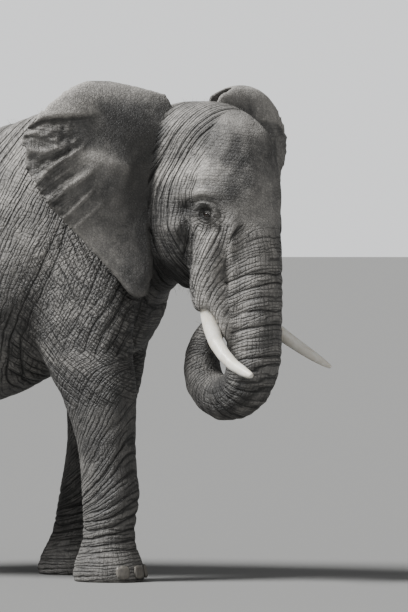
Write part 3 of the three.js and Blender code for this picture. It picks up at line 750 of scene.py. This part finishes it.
LID_THICKNESS = 0.005
LID_OPENING = {"half_length": 0.025, "upper": 0.0105, "lower": 0.0095}
LID_CORNER = 1.6
# Between these distances the lids run into the skin round the eye, and that into the head's own.
LID_FADE = (0.027, 0.056)
BED_FADE = (0.085, 0.125)
BED_FROM, BED_DEPTH = 0.060, -0.06
# The folds round an eye: which way they lie (1 over it, -1 under it), distance, width and height, in metres.
EYE_FOLDS = [
    (1, 0.036, 0.0045, -0.005),
    (1, 0.062, 0.0120, 0.008),
    (1, 0.089, 0.0090, -0.010),
    (-1, 0.036, 0.0045, -0.004),
    (-1, 0.052, 0.0050, -0.006),
    (-1, 0.068, 0.0055, -0.006),
    (-1, 0.086, 0.0060, -0.006),
]


def eye_axes(side):
    """Along the lids to their front corner, up across them, and out of the head."""
    flip = SIDES[side]
    out = unit(np.array([0.28, 0.96 * flip, 0.02]) @ HEAD_AXES)
    along = np.array([0.90, -0.26 * flip, -0.34]) @ HEAD_AXES
    along = unit(along - out * (along @ out))
    up = np.cross(along, out) * -flip
    return along, up if up[2] > 0 else -up, out


def opening(u, v):
    """1 on the lids' edge, less inside it."""
    tall = np.where(v > 0, LID_OPENING["upper"], LID_OPENING["lower"])
    across, upward = np.abs(u) / LID_OPENING["half_length"], np.abs(v) / tall
    return (across ** LID_CORNER + upward ** LID_CORNER) ** (1 / LID_CORNER)


# Where the lids' edge is close enough to snap to, and how far from an eye each longest edge holds, in metres.
SNAP = (0.84, 1.16)
EYE_FINENESS = ((0.090, 0.0095), (0.055, 0.0046), (0.038, 0.0027))


def refined(mesh):
    """Finer triangles round the eyes."""
    form = bmesh.new()
    form.from_mesh(mesh)
    for eye in EYES.values():
        centre = Vector(eye)
        for reach, longest in EYE_FINENESS:
            for _ in range(3):
                close = [vertex for vertex in form.verts if (vertex.co - centre).length < reach]
                edges = {edge for vertex in close for edge in vertex.link_edges}
                long = [edge for edge in edges if edge.calc_length() > longest]
                if long:
                    bmesh.ops.subdivide_edges(form, edges=long, cuts=1)
                    bmesh.ops.triangulate(form, faces=[face for face in form.faces if len(face.verts) > 3])
    form.to_mesh(mesh)
    form.free()


def bed_height(u, v, h):
    """The head's own even surface near an eye, carried on across the place where the eye lies."""
    gap = np.hypot(u, v)
    terms = np.stack([np.ones_like(u), u, v, u * u, u * v, v * v], axis=1)
    round_it = (gap > BED_FROM) & (gap < BED_FADE[1]) & (h > BED_DEPTH)
    return terms @ np.linalg.lstsq(terms[round_it], h[round_it], rcond=None)[0]


def shape_lids(mesh):
    points = places_of(mesh)
    free = np.zeros(len(points))
    lid = EYE_RADIUS + LID_THICKNESS
    for side, eye in EYES.items():
        along, up, out = eye_axes(side)
        away = points - eye
        u, v, h = away @ along, away @ up, away @ out
        gap = np.hypot(u, v)
        chosen = (gap < BED_FADE[1]) & (h > BED_DEPTH)
        over = np.sqrt(np.maximum(lid ** 2 - gap ** 2, (0.45 * lid) ** 2))
        bed = bed_height(u, v, h)
        shaped = bed + (over - bed) * ramp(gap, *reversed(LID_FADE))
        fold = np.hypot(u + 0.010, v)
        for way, distance, width, depth in EYE_FOLDS:
            share = ramp(way * v - 0.5 * u * (way < 0), 0.0, 0.020)
            shaped += depth * bell(fold - distance, width) * share
        height = h + (shaped - h) * ramp(gap, *reversed(BED_FADE))
        edge = opening(u, v)
        snapped = (edge > SNAP[0]) & (edge < SNAP[1])
        shrink = np.where(snapped, 1 / np.maximum(edge, 1e-6), 1)
        u, v = u * shrink, v * shrink
        height = np.where(snapped, np.sqrt(np.maximum(lid ** 2 - u * u - v * v, 1e-6)), height)
        height = np.where(edge <= SNAP[0], 0.4 * EYE_RADIUS, height)
        moved = eye + u[:, None] * along + v[:, None] * up + height[:, None] * out
        points = np.where(chosen[:, None], moved, points)
        free[chosen & (edge >= SNAP[1])] = 1
    place(mesh, points)
    place(mesh, evened_places(mesh, 3 * free))


refined(hide_mesh)
shape_lids(hide_mesh)
smooth_shaded(hide_mesh)

hide = new_piece("hide", hide_mesh)
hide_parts(*FLESH)
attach(hide, "root")

# ---------- finishes


def feed(tree, socket, value):
    if isinstance(value, bpy.types.NodeSocket):
        tree.links.new(value, socket)
    else:
        socket.default_value = value


def add_node(tree, kind, inputs=None, **settings):
    node = tree.nodes.new(kind)
    for key, value in settings.items():
        setattr(node, key, value)
    for key, value in (inputs or {}).items():
        feed(tree, node.inputs[key], value)
    return node


class Finish:
    """A material and the means to add nodes to it."""

    def __init__(self, name):
        self.material = bpy.data.materials.new(name)
        self.material.use_nodes = True
        self.tree = self.material.node_tree
        self.place = self.add("TexCoord").outputs["Object"]

    def add(self, kind, inputs=None, **settings):
        return add_node(self.tree, "ShaderNode" + kind, inputs, **settings)

    def surface(self, name, value):
        feed(self.tree, self.tree.nodes["Principled BSDF"].inputs[name], value)

    def maths(self, kind, *inputs):
        return self.add("Math", dict(enumerate(inputs)), operation=kind).outputs[0]

    def times(self, first, second):
        return self.maths("MULTIPLY", first, second)

    def over(self, value, size):
        return self.maths("DIVIDE", value, size)

    def gathered(self, kind, first, *others):
        for other in others:
            first = self.maths(kind, first, other)
        return first

    def weighed(self, kind, rows):
        """The rows' values, each times its weight, gathered into one."""
        return self.gathered(kind, *(self.times(value, weight) for value, weight in rows))

    def vector(self, x, y, z=0.0):
        return self.add("CombineXYZ", {"X": x, "Y": y, "Z": z}).outputs[0]

    def parts(self, value):
        outputs = self.add("SeparateXYZ", {0: value}).outputs
        return [outputs[axis] for axis in "XYZ"]

    def kept(self, name):
        """The three values that the mesh keeps under a name."""
        return self.parts(self.add("Attribute", attribute_name=name).outputs["Vector"])

    def noise(self, size, detail=2, at=None, **inputs):
        inputs = {"Vector": at or self.place, "Scale": 1 / size, "Detail": detail, **inputs}
        return self.add("TexNoise", inputs).outputs["Fac"]

    def stretched(self, x, x_size, y, y_size, z=0.0, detail=1):
        """Noise of one size along x and another along y."""
        return self.noise(1, detail, self.vector(self.over(x, x_size), self.over(y, y_size), z))

    def between(self, value, low, high, to_low=0.0, to_high=1.0):
        inputs = {"Value": value, "From Min": low, "From Max": high, "To Min": to_low, "To Max": to_high}
        return self.add("MapRange", inputs, interpolation_type="SMOOTHSTEP").outputs["Result"]

    def clouds(self, size, detail, low, high, **inputs):
        return self.between(self.noise(size, detail, **inputs), low, high)

    def mix(self, share, first, second):
        inputs = {0: share, 6: first, 7: second}
        return self.add("Mix", inputs, data_type="RGBA", clamp_factor=True).outputs[2]

    def colour(self, value):
        self.surface("Base Color", value)

    def bump(self, *rows):
        """rows: a value from 0 to 1, and its height in metres."""
        bump = self.add("Bump", {"Height": self.weighed("ADD", rows), "Distance": 1.0, "Strength": 1.0})
        self.surface("Normal", bump.outputs["Normal"])


def grey(value, warmth=0.03):
    return (value * (1 + warmth), value, value * (1 - 1.5 * warmth), 1)


FOLD_HALF_WIDTH = 0.0092
STRAND_SPACING = 0.021
CROSSING_SPACING = 0.026


def skin_finish():
    skin = Finish("dry_grey_hide")
    maths, times, between, clouds = skin.maths, skin.times, skin.between, skin.clouds

    def lines(run, along, spacing, width, seed):
        """Creases a spacing apart that bend together and come and go: 1 in each crease, 0 between them."""
        bend = skin.stretched(run, 0.11, along, 0.30, seed)
        jitter = skin.stretched(run, 0.03, along, 0.05, seed + 3.3)
        turns = skin.gathered("ADD", skin.over(run, spacing), times(bend, 3.0), times(jitter, 0.6))
        which = times(maths("ROUND", turns), 3.71)
        comes = skin.noise(1, 1, skin.vector(which, skin.over(along, 0.075), seed + 7.7))
        crease = between(maths("PINGPONG", turns, 0.5), 0.0, width, 1.0, 0.0)
        return times(crease, between(comes, 0.28, 0.54, 0.18, 1.0))

    folds, strands, crossings = [], [], []
    for name, seed, spacing in zip(layers, (1.0, 21.0, 41.0), skin.kept("spacings")):
        across, along, count = skin.kept(f"lie_{name}")
        fold_depth, strand_depth, crossing_depth = skin.kept(f"depths_{name}")
        fold = between(times(maths("PINGPONG", count, 0.5), spacing), 0.0, FOLD_HALF_WIDTH, 1.0, 0.0)
        folds.append(times(fold, between(fold_depth, 0.02, 0.5)))
        strands.append(times(lines(across, along, STRAND_SPACING, 0.30, seed), strand_depth))
        crossings.append(times(lines(along, across, CROSSING_SPACING, 0.26, seed + 9), crossing_depth))
    folds, strands, crossings = (skin.gathered("MAXIMUM", *found) for found in (folds, strands, crossings))
    plates = {"Vector": skin.place, "Scale": 1 / 0.017, "Randomness": 0.95}
    plates = skin.add("TexVoronoi", plates, feature="DISTANCE_TO_EDGE").outputs["Distance"]
    net = between(plates, 0.0, 0.15, 1.0, 0.0)
    skin.bump((folds, -0.0090), (strands, -0.0055), (crossings, -0.0040), (net, -0.0016),
              (skin.noise(0.010, 3), 0.0024), (skin.noise(0.045, 3), 0.0070))

    # The kept hollows, the dust with painted light, and the painted shade with darker patches.
    hollow, dusty, shade_and_dark = skin.kept("hollow_dust_light_shade")
    up = skin.parts(skin.add("NewGeometry").outputs["Normal"])[2]
    # Painted shade: the folds, strands, crossings, plate edges and hollows darken to near black where shade
    # would fall in them.
    crease_shade = skin.weighed("MAXIMUM", ((folds, 0.95), (strands, 0.85), (crossings, 0.72), (net, 0.30),
                                    (between(hollow, 0.05, 0.6), 0.55)))
    speckle = between(clouds(0.022, 3, 0.50, 0.68), 0.0, 1.0, 0.45, 1.05)
    # Dust with painted light: random dusty clouds, paler on upward faces as dust and painted light from
    # above, the kept dust and painted light, and paler on ridges as dust and painted highlight.
    dust_and_light = skin.weighed("ADD", ((clouds(0.30, 4, 0.42, 0.68, Distortion=0.4), 0.38),
                                (clouds(0.05, 3, 0.48, 0.66), 0.16), (clouds(0.014, 2, 0.50, 0.62), 0.12),
                                (between(up, 0.1, 0.9), 0.25), (dusty, speckle)))
    dust_and_light = maths("ADD", dust_and_light, between(hollow, -0.05, -0.45, 0.0, 0.30))
    clean = skin.mix(clouds(0.10, 4, 0.35, 0.70), grey(0.066), grey(0.112))
    dusted_and_lit = skin.mix(dust_and_light, clean, grey(0.42, 0.05))
    # The kept painted shade and darker patches darken the colour, and the painted crease shade takes it to
    # near black.
    shaded_and_darkened = skin.mix(times(shade_and_dark, 0.85), dusted_and_lit, grey(0.017))
    skin.colour(skin.mix(crease_shade, shaded_and_darkened, grey(0.009)))
    skin.surface("Roughness", between(dust_and_light, 0.0, 1.0, 0.62, 0.90))
    return skin.material


hide.data.materials.append(skin_finish())

# ---------- tusks and nails


def smoothed_copy(node, voxel, rounds, blunt=None):
    """A node's own shape, remeshed and evened. blunt: how far from its lowest end the evening comes in."""
    mesh = remeshed(mesh_of(welded(node), node), voxel)
    points = places_of(mesh)
    share = np.ones(len(points))
    if blunt:
        from_end = np.linalg.norm(points - points[points[:, 2].argmin()], axis=1)
        share = 0.08 + 0.92 * ramp(from_end, 0, blunt)
    place(mesh, rounded(mesh, Neighbours(mesh), rounds * share))
    smooth_shaded(mesh)
    return mesh


def ivory_finish():
    ivory = Finish("worn_ivory")
    run, around, _ = ivory.kept("grain")
    streaks = ivory.stretched(run, 0.12, around, 0.006, detail=3)
    scratches = ivory.stretched(run, 0.02, around, 0.0025, 5.0, detail=2)
    cream = ivory.mix(ivory.clouds(0.05, 3, 0.35, 0.70), (0.80, 0.775, 0.71, 1), (0.70, 0.66, 0.57, 1))
    streaked = ivory.mix(ivory.between(streaks, 0.50, 0.75, 0.0, 0.5), cream, (0.50, 0.44, 0.34, 1))
    root = ivory.between(run, 0.0, 0.14, 1.0, 0.0)
    stain = ivory.times(root, ivory.between(streaks, 0.30, 0.62, 0.25, 0.9))
    ivory.colour(ivory.mix(stain, streaked, (0.16, 0.125, 0.085, 1)))
    ivory.surface("Roughness", ivory.between(scratches, 0.35, 0.65, 0.30, 0.48))
    ivory.bump((streaks, 0.0012), (scratches, 0.0006))
    ivory.surface("Subsurface Weight", 0.15)
    ivory.surface("Subsurface Radius", (0.012, 0.010, 0.007))
    return ivory.material


def horn_finish():
    horn = Finish("toe_horn")
    x, y, z = horn.parts(horn.place)
    ridges = horn.stretched(x, 0.008, y, 0.008, horn.over(z, 0.06), detail=2)
    dusty = horn.clouds(0.035, 4, 0.38, 0.66)
    shell = horn.mix(horn.between(ridges, 0.35, 0.65), grey(0.075, 0.10), grey(0.125, 0.10))
    worn = horn.mix(horn.times(horn.between(z, 0.10, 0.01), 0.5), shell, grey(0.16, 0.09))
    horn.colour(horn.mix(horn.times(dusty, 0.6), worn, grey(0.09, 0.06)))
    horn.surface("Roughness", horn.between(dusty, 0.0, 1.0, 0.45, 0.80))
    horn.bump((ridges, 0.0020), (horn.noise(0.006, 2), 0.0006))
    return horn.material


ivory, toe_horn = ivory_finish(), horn_finish()
for node in (name for name in nodes if name.startswith("tusk")):
    mesh = smoothed_copy(node, 0.005, 60, blunt=0.12)
    points = places_of(mesh)
    run = np.linalg.norm(points - points[points[:, 2].argmax()], axis=1)
    centre = points.mean(axis=0)
    around = np.arctan2(points[:, 1] - centre[1], points[:, 0] - centre[0]) * 0.05
    keep_vector(mesh, "grain", np.stack([run, around, 0 * run], axis=1))
    tusk = new_piece(node.replace("tusk", "ivory"), mesh, ivory)
    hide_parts(node)
    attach(tusk, "root")
for node in (name for name in nodes if name.startswith("nail")):
    nail = new_piece(node.replace("nail", "toe_horn"), smoothed_copy(node, 0.004, 14), toe_horn)
    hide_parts(node)
    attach(nail, "root")

# ---------- eyes

EYE_RINGS, EYE_SPOKES = 44, 48
PUPIL, IRIS, CORNEA = 0.17, 0.56, 0.62


def eyeball(side):
    """A ball whose pole looks where the animal looks, with the cornea's low dome on it."""
    along, up, out = eye_axes(side)
    gaze = unit(0.96 * out + 0.18 * along - 0.12 * up)
    across = unit(np.cross(up, gaze))
    upward = np.cross(gaze, across)
    form, corners, angles = bmesh.new(), [], []
    for ring in range(EYE_RINGS + 1):
        angle = math.pi * (ring / EYE_RINGS) ** 1.3
        radius = EYE_RADIUS * (1 + 0.055 * max(0, 1 - (angle / CORNEA) ** 2))
        for spoke in range(1 if ring in (0, EYE_RINGS) else EYE_SPOKES):
            turn = 2 * math.pi * spoke / EYE_SPOKES
            sideways = math.cos(turn) * across + math.sin(turn) * upward
            point = EYES[side] + radius * (math.cos(angle) * gaze + math.sin(angle) * sideways)
            corners.append(form.verts.new(point))
            angles.append((angle, turn, 0))
    rows = [corners[:1] * EYE_SPOKES]
    rows += [corners[start:start + EYE_SPOKES] for start in range(1, len(corners) - 1, EYE_SPOKES)]
    rows += [corners[-1:] * EYE_SPOKES]
    for upper, lower in zip(rows[:-1], rows[1:]):
        for spoke, after in enumerate([*range(1, EYE_SPOKES), 0]):
            ring = [upper[spoke], lower[spoke], lower[after], upper[after]]
            form.faces.new(list(dict.fromkeys(ring)))
    bmesh.ops.recalc_face_normals(form, faces=form.faces)
    mesh = mesh_of(form, "eyeball")
    keep_vector(mesh, "gaze", angles)
    smooth_shaded(mesh)
    return mesh


def eye_finish():
    eye = Finish("wet_brown_eye")
    angle, turn, _ = eye.kept("gaze")
    spokes = eye.noise(1, 2, eye.vector(eye.times(angle, 4.0), eye.times(turn, 9.0)))
    iris = eye.mix(eye.between(spokes, 0.35, 0.65), (0.014, 0.007, 0.004, 1), (0.034, 0.017, 0.008, 1))
    rimmed = eye.mix(eye.between(angle, IRIS - 0.12, IRIS), iris, (0.008, 0.006, 0.005, 1))
    white = eye.mix(eye.clouds(0.010, 3, 0.35, 0.65), (0.014, 0.010, 0.008, 1), (0.024, 0.018, 0.015, 1))
    ball = eye.mix(eye.between(angle, IRIS, IRIS + 0.05), rimmed, white)
    eye.colour(eye.mix(eye.between(angle, PUPIL, PUPIL - 0.03), ball, (0.002, 0.002, 0.002, 1)))
    for name, value in (("Roughness", 0.12), ("Coat Weight", 1.0), ("Coat Roughness", 0.03)):
        eye.surface(name, value)
    return eye.material


wet_eye = eye_finish()
for side in SIDES:
    ball = new_piece(f"eyeball_{side}", eyeball(side), wet_eye)
    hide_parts(f"eye_{side}")
    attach(ball, "root")

# ---------- hair

STRAND_SIDES = 3
STRAND_STEPS = 5
TUFT_PATCH = 0.003


def bristle_tree():
    """A strand on every root, turned and sized by the root's own values, with its patch on the coat's map."""
    tree = bpy.data.node_groups.new("bristles", "GeometryNodeTree")
    for name in ("Roots", "Length", "Thickness", "Droop", "Patch", "Finish"):
        kind = {"Roots": "Geometry", "Finish": "Material"}.get(name, "Float")
        tree.interface.new_socket(name, in_out="INPUT", socket_type=f"NodeSocket{kind}")
    tree.interface.new_socket("Bristles", in_out="OUTPUT", socket_type="NodeSocketGeometry")

    def add(kind, inputs=None, **settings):
        return add_node(tree, kind, inputs, **settings).outputs[0]

    def maths(kind, first, second):
        return add("ShaderNodeMath", {0: first, 1: second}, operation=kind)

    def stored(geometry, name, value, kind="FLOAT", domain="POINT"):
        inputs = {"Geometry": geometry, "Name": name, "Value": value}
        return add("GeometryNodeStoreNamedAttribute", inputs, data_type=kind, domain=domain)

    def own(name, kind="FLOAT_VECTOR"):
        return add("GeometryNodeInputNamedAttribute", {"Name": name}, data_type=kind)

    given = add_node(tree, "NodeGroupInput").outputs
    middle = add("ShaderNodeCombineXYZ", {"X": 0.0, "Z": 0.55})
    tip = add("ShaderNodeCombineXYZ", {"X": given["Droop"], "Z": 0.95})
    spine = add("GeometryNodeCurveQuadraticBezier",
                {"Resolution": STRAND_STEPS, "Start": (0, 0, 0), "Middle": middle, "End": tip})
    up = add("GeometryNodeSplineParameter")
    spine = stored(spine, "up", up)
    taper = maths("SUBTRACT", 1.0, maths("MULTIPLY", up, 0.8))
    radius = maths("MULTIPLY", taper, maths("DIVIDE", given["Thickness"], given["Length"]))
    spine = add("GeometryNodeSetCurveRadius", {"Curve": spine, "Radius": radius})
    ring = add("GeometryNodeCurvePrimitiveCircle", {"Resolution": STRAND_SIDES, "Radius": 0.5})
    ring = stored(ring, "around", add("GeometryNodeSplineParameter"))
    strand = add("GeometryNodeCurveToMesh", {"Curve": spine, "Profile Curve": ring, "Fill Caps": True,
                                             "Scale": add("GeometryNodeInputRadius")})
    size = maths("MULTIPLY", own("size", "FLOAT"), given["Length"])
    roots = add("GeometryNodeMeshToPoints", {"Mesh": given["Roots"]})
    turned = add("FunctionNodeEulerToRotation", {0: own("turn")})
    strands = add("GeometryNodeInstanceOnPoints",
                  {"Points": roots, "Instance": strand, "Rotation": turned, "Scale": size})
    solid = add("GeometryNodeRealizeInstances", {"Geometry": strands})
    patch = add("ShaderNodeCombineXYZ", {"X": own("around", "FLOAT"), "Y": own("up", "FLOAT")})
    patch = add("ShaderNodeVectorMath", {0: patch, "Scale": given["Patch"]}, operation="SCALE")
    on_map = add("ShaderNodeVectorMath", {0: own("root"), 1: patch}, operation="ADD")
    mapped = stored(solid, "OFBake", on_map, "FLOAT2", "CORNER")
    finished = add("GeometryNodeSetMaterial", {"Geometry": mapped, "Material": given["Finish"]})
    add_node(tree, "NodeGroupOutput", {"Bristles": finished})
    return tree


BRISTLE_TREE = bristle_tree()


def bristles(name, roots, sizes, length, thickness, droop, finish):
    """roots: rows of place, direction, the way it bends, and its place on the skin's unwrap."""
    mesh = bpy.data.meshes.new(name)
    mesh.from_pydata([root[0] for root in roots], [], [])
    turns = []
    for _, stand, bend, _ in roots:
        stand = Vector(stand).normalized()
        side = stand.cross(Vector(bend)).normalized()
        turns.append(Matrix((side.cross(stand), side, stand)).transposed().to_euler())
    keep_vector(mesh, "turn", [list(turn) for turn in turns])
    keep_vector(mesh, "root", [(*root[3], 0) for root in roots])
    layer = mesh.attributes.new("size", "FLOAT", "POINT")
    layer.data.foreach_set("value", np.asarray(sizes, np.float32))
    given = {"Length": length, "Thickness": thickness, "Droop": droop, "Patch": TUFT_PATCH, "Finish": finish}
    sockets = {item.name: item.identifier for item in BRISTLE_TREE.interface.items_tree}
    inputs = {sockets[key]: value for key, value in given.items()}
    result = with_modifier(new_piece("roots", mesh), "NODES", inputs, node_group=BRISTLE_TREE)
    for spare in ("turn", "root", "size", "around"):
        if spare in result.attributes:
            result.attributes.remove(result.attributes[spare])
    hair = new_piece(name, result)
    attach(hair, "root")
    return hair


def hair_finish(name, dark, light):
    hair = Finish(name)
    up = hair.add("Attribute", attribute_name="up").outputs["Fac"]
    shade = hair.mix(hair.between(up, 0.0, 1.0), grey(dark, 0.08), grey(light, 0.10))
    dusty = hair.times(hair.clouds(0.02, 2, 0.45, 0.70), 0.4)
    hair.colour(hair.mix(dusty, shade, grey(light * 2.2, 0.08)))
    hair.surface("Roughness", 0.42)
    return hair.material


def unwrapped(point):
    """A point of the skin laid out flat: round the body and along it."""
    low, high = (np.array(corner) for corner in cad_box)
    around = math.atan2(point[1] - BODY_AT[1], point[2] - 1.6) / (2 * math.pi) + 0.5
    along = (point[0] - low[0]) / (high[0] - low[0])
    return 0.02 + 0.95 * along, 0.02 + 0.95 * around


black_hair = hair_finish("wiry_black_hair", 0.010, 0.024)
dark_bristle = hair_finish("short_dark_bristle", 0.016, 0.050)

TAIL_HAIRS = 420
TAIL_HAIR_LENGTH = 0.34


def tail_hair():
    maker = np.random.default_rng(61)
    low, high = (np.array(corner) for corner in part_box("tail_tuft"))
    middle = (low + high) / 2
    lowest, tail_end = low[2] + 0.01, high[2]
    roots, sizes = [], []
    for _ in range(TAIL_HAIRS):
        turn = maker.choice([-1, 1]) * math.pi / 2 + maker.normal(0, 0.45)
        height = tail_end - 0.20 * maker.uniform(0, 1) ** 1.4 + 0.10
        sideways = np.array([0.5 * math.cos(turn), math.sin(turn), 0])
        start = np.array([middle[0], middle[1], height]) + 0.018 * sideways
        stand = sideways * maker.uniform(0.12, 0.34) + [0, 0, -1] + maker.normal(0, 0.03, 3)
        length = min(maker.uniform(0.65, 1.05) * TAIL_HAIR_LENGTH, (height - lowest) / 0.97)
        roots.append((start, stand, -sideways, (0.5 + turn / 9, 0.2 + 0.5 * (height - lowest))))
        sizes.append(length / TAIL_HAIR_LENGTH)
    hair = bristles("tail_hair", roots, sizes, TAIL_HAIR_LENGTH, 0.0030, 0.10, black_hair)
    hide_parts("tail_tuft")


def lashes():
    maker = np.random.default_rng(62)
    roots, sizes = [], []
    for side, eye in EYES.items():
        along, up, out = eye_axes(side)
        for row, count in ((1, 46), (-1, 16)):
            for index in range(count):
                u = LID_OPENING["half_length"] * (1.8 * (index + maker.uniform(0, 1)) / count - 0.9)
                tall = LID_OPENING["upper"] if row > 0 else LID_OPENING["lower"]
                v = row * tall * (1 - (abs(u) / LID_OPENING["half_length"]) ** LID_CORNER) ** (1 / LID_CORNER)
                lid = EYE_RADIUS + LID_THICKNESS
                height = math.sqrt(max(lid ** 2 - u * u - v * v, 1e-6)) - 0.002
                start = eye + u * along + v * up + height * out
                stand = out + 0.55 * row * up + 14 * u * along + maker.normal(0, 0.08, 3)
                roots.append((start, stand, -up, (0.2 + 0.5 * (side == "left") + 3 * u, 0.5 + 3 * v)))
                sizes.append(maker.uniform(0.7, 1.1) * (1 if row > 0 else 0.5))
    bristles("lashes", roots, sizes, 0.036, 0.0011, 0.75, black_hair)


# Where short bristles grow: place from the head or, for the back, from the fore feet; size; count; length.
BRISTLE_BEDS = [
    ("head", (0.25, 0.0, 1.66), (0.20, 0.16, 0.10), 220, 1.3),
    ("head", (0.42, 0.0, 2.66), (0.22, 0.22, 0.14), 260, 0.8),
    ("head", (0.50, 0.0, 1.50), (0.20, 0.25, 0.45), 220, 0.6),
    ("body", (-0.9, 0.0, 2.62), (1.3, 0.30, 0.14), 420, 1.0),
]
BRISTLE_LENGTH = 0.036


def body_bristles():
    """Sparse bristles, most of them where the beds are."""
    maker = np.random.default_rng(63)
    points, outward = places_of(hide_mesh), outward_of(hide_mesh)
    at = {"head": in_head(points), "body": points - BODY_AT}
    roots, sizes = [], []
    for frame_name, centre, size, count, length in BRISTLE_BEDS:
        thick = mound(at[frame_name], centre, size)
        for index in maker.choice(len(points), count, p=thick / thick.sum()):
            stand = outward[index] + maker.normal(0, 0.25, 3) + [0, 0, -0.25]
            start = points[index] - 0.001 * outward[index]
            roots.append((start, stand, (-0.4, 0, -1), unwrapped(points[index])))
            sizes.append(length * maker.uniform(0.6, 1.2))
    bristles("body_bristles", roots, sizes, BRISTLE_LENGTH, 0.0011, 0.25, dark_bristle)


tail_hair()
lashes()
body_bristles()

# ---------- floor, light and camera

REACH = 1500
floor_finish = Finish("pale_floor")
floor_finish.colour((0.19, 0.19, 0.186, 1))
floor_finish.surface("Roughness", 0.9)
floor_mesh = bpy.data.meshes.new("floor")
corners = [(x * REACH, y * REACH, 0) for x, y in ((-1, -1), (1, -1), (1, 1), (-1, 1))]
floor_mesh.from_pydata(corners, [], [(0, 1, 2, 3)])
floor = new_piece("floor", floor_mesh, floor_finish.material)

SKY = (0.80, 0.81, 0.82, 1)
AMBIENT, BACKDROP = 0.24, 1.40
world = bpy.data.worlds.new("studio")
bpy.context.scene.world = world
world.use_nodes = True
studio = world.node_tree
camera_ray = add_node(studio, "ShaderNodeLightPath").outputs["Is Camera Ray"]
ambient, backdrop = (add_node(studio, "ShaderNodeBackground", {"Color": SKY, "Strength": strength}).outputs[0]
                     for strength in (AMBIENT, BACKDROP))
seen = add_node(studio, "ShaderNodeMixShader", {0: camera_ray, 1: ambient, 2: backdrop}).outputs[0]
feed(studio, studio.nodes["World Output"].inputs["Surface"], seen)


def soft_sun(name, direction, strength, spread):
    lamp = bpy.data.lights.new(name, "SUN")
    lamp.energy = strength
    lamp.angle = math.radians(spread)
    light = bpy.data.objects.new(name, lamp)
    light.rotation_euler = Vector(direction).to_track_quat("Z", "Y").to_euler()
    bpy.context.collection.objects.link(light)


soft_sun("key", (-0.527, -0.369, 0.766), 8.0, 22)
soft_sun("fill", (0.60, -0.70, 0.40), 0.9, 70)

AZIMUTH = math.radians(18)
DISTANCE = 32
EYE_LEVEL = 1.92
AIM_SIDEWAYS = 0.4626
AIM_HEIGHT = 1.594
PIXELS_PER_METRE = 170.6
SENSOR, PICTURE_HEIGHT = 36, 612
right_of_view = Vector((math.cos(AZIMUTH), math.sin(AZIMUTH), 0))
aim = Vector(BODY_AT) + right_of_view * AIM_SIDEWAYS + Vector((0, 0, AIM_HEIGHT))
camera_data = bpy.data.cameras.new("camera")
camera_data.lens = SENSOR * DISTANCE * PIXELS_PER_METRE / PICTURE_HEIGHT
camera_data.clip_end = 4000
camera = bpy.data.objects.new("camera", camera_data)
camera.location = aim + Vector((math.sin(AZIMUTH), -math.cos(AZIMUTH), 0)) * DISTANCE
camera.location.z = EYE_LEVEL
camera.rotation_euler = (camera.location - aim).to_track_quat("Z", "Y").to_euler()
bpy.context.collection.objects.link(camera)
bpy.context.scene.camera = camera
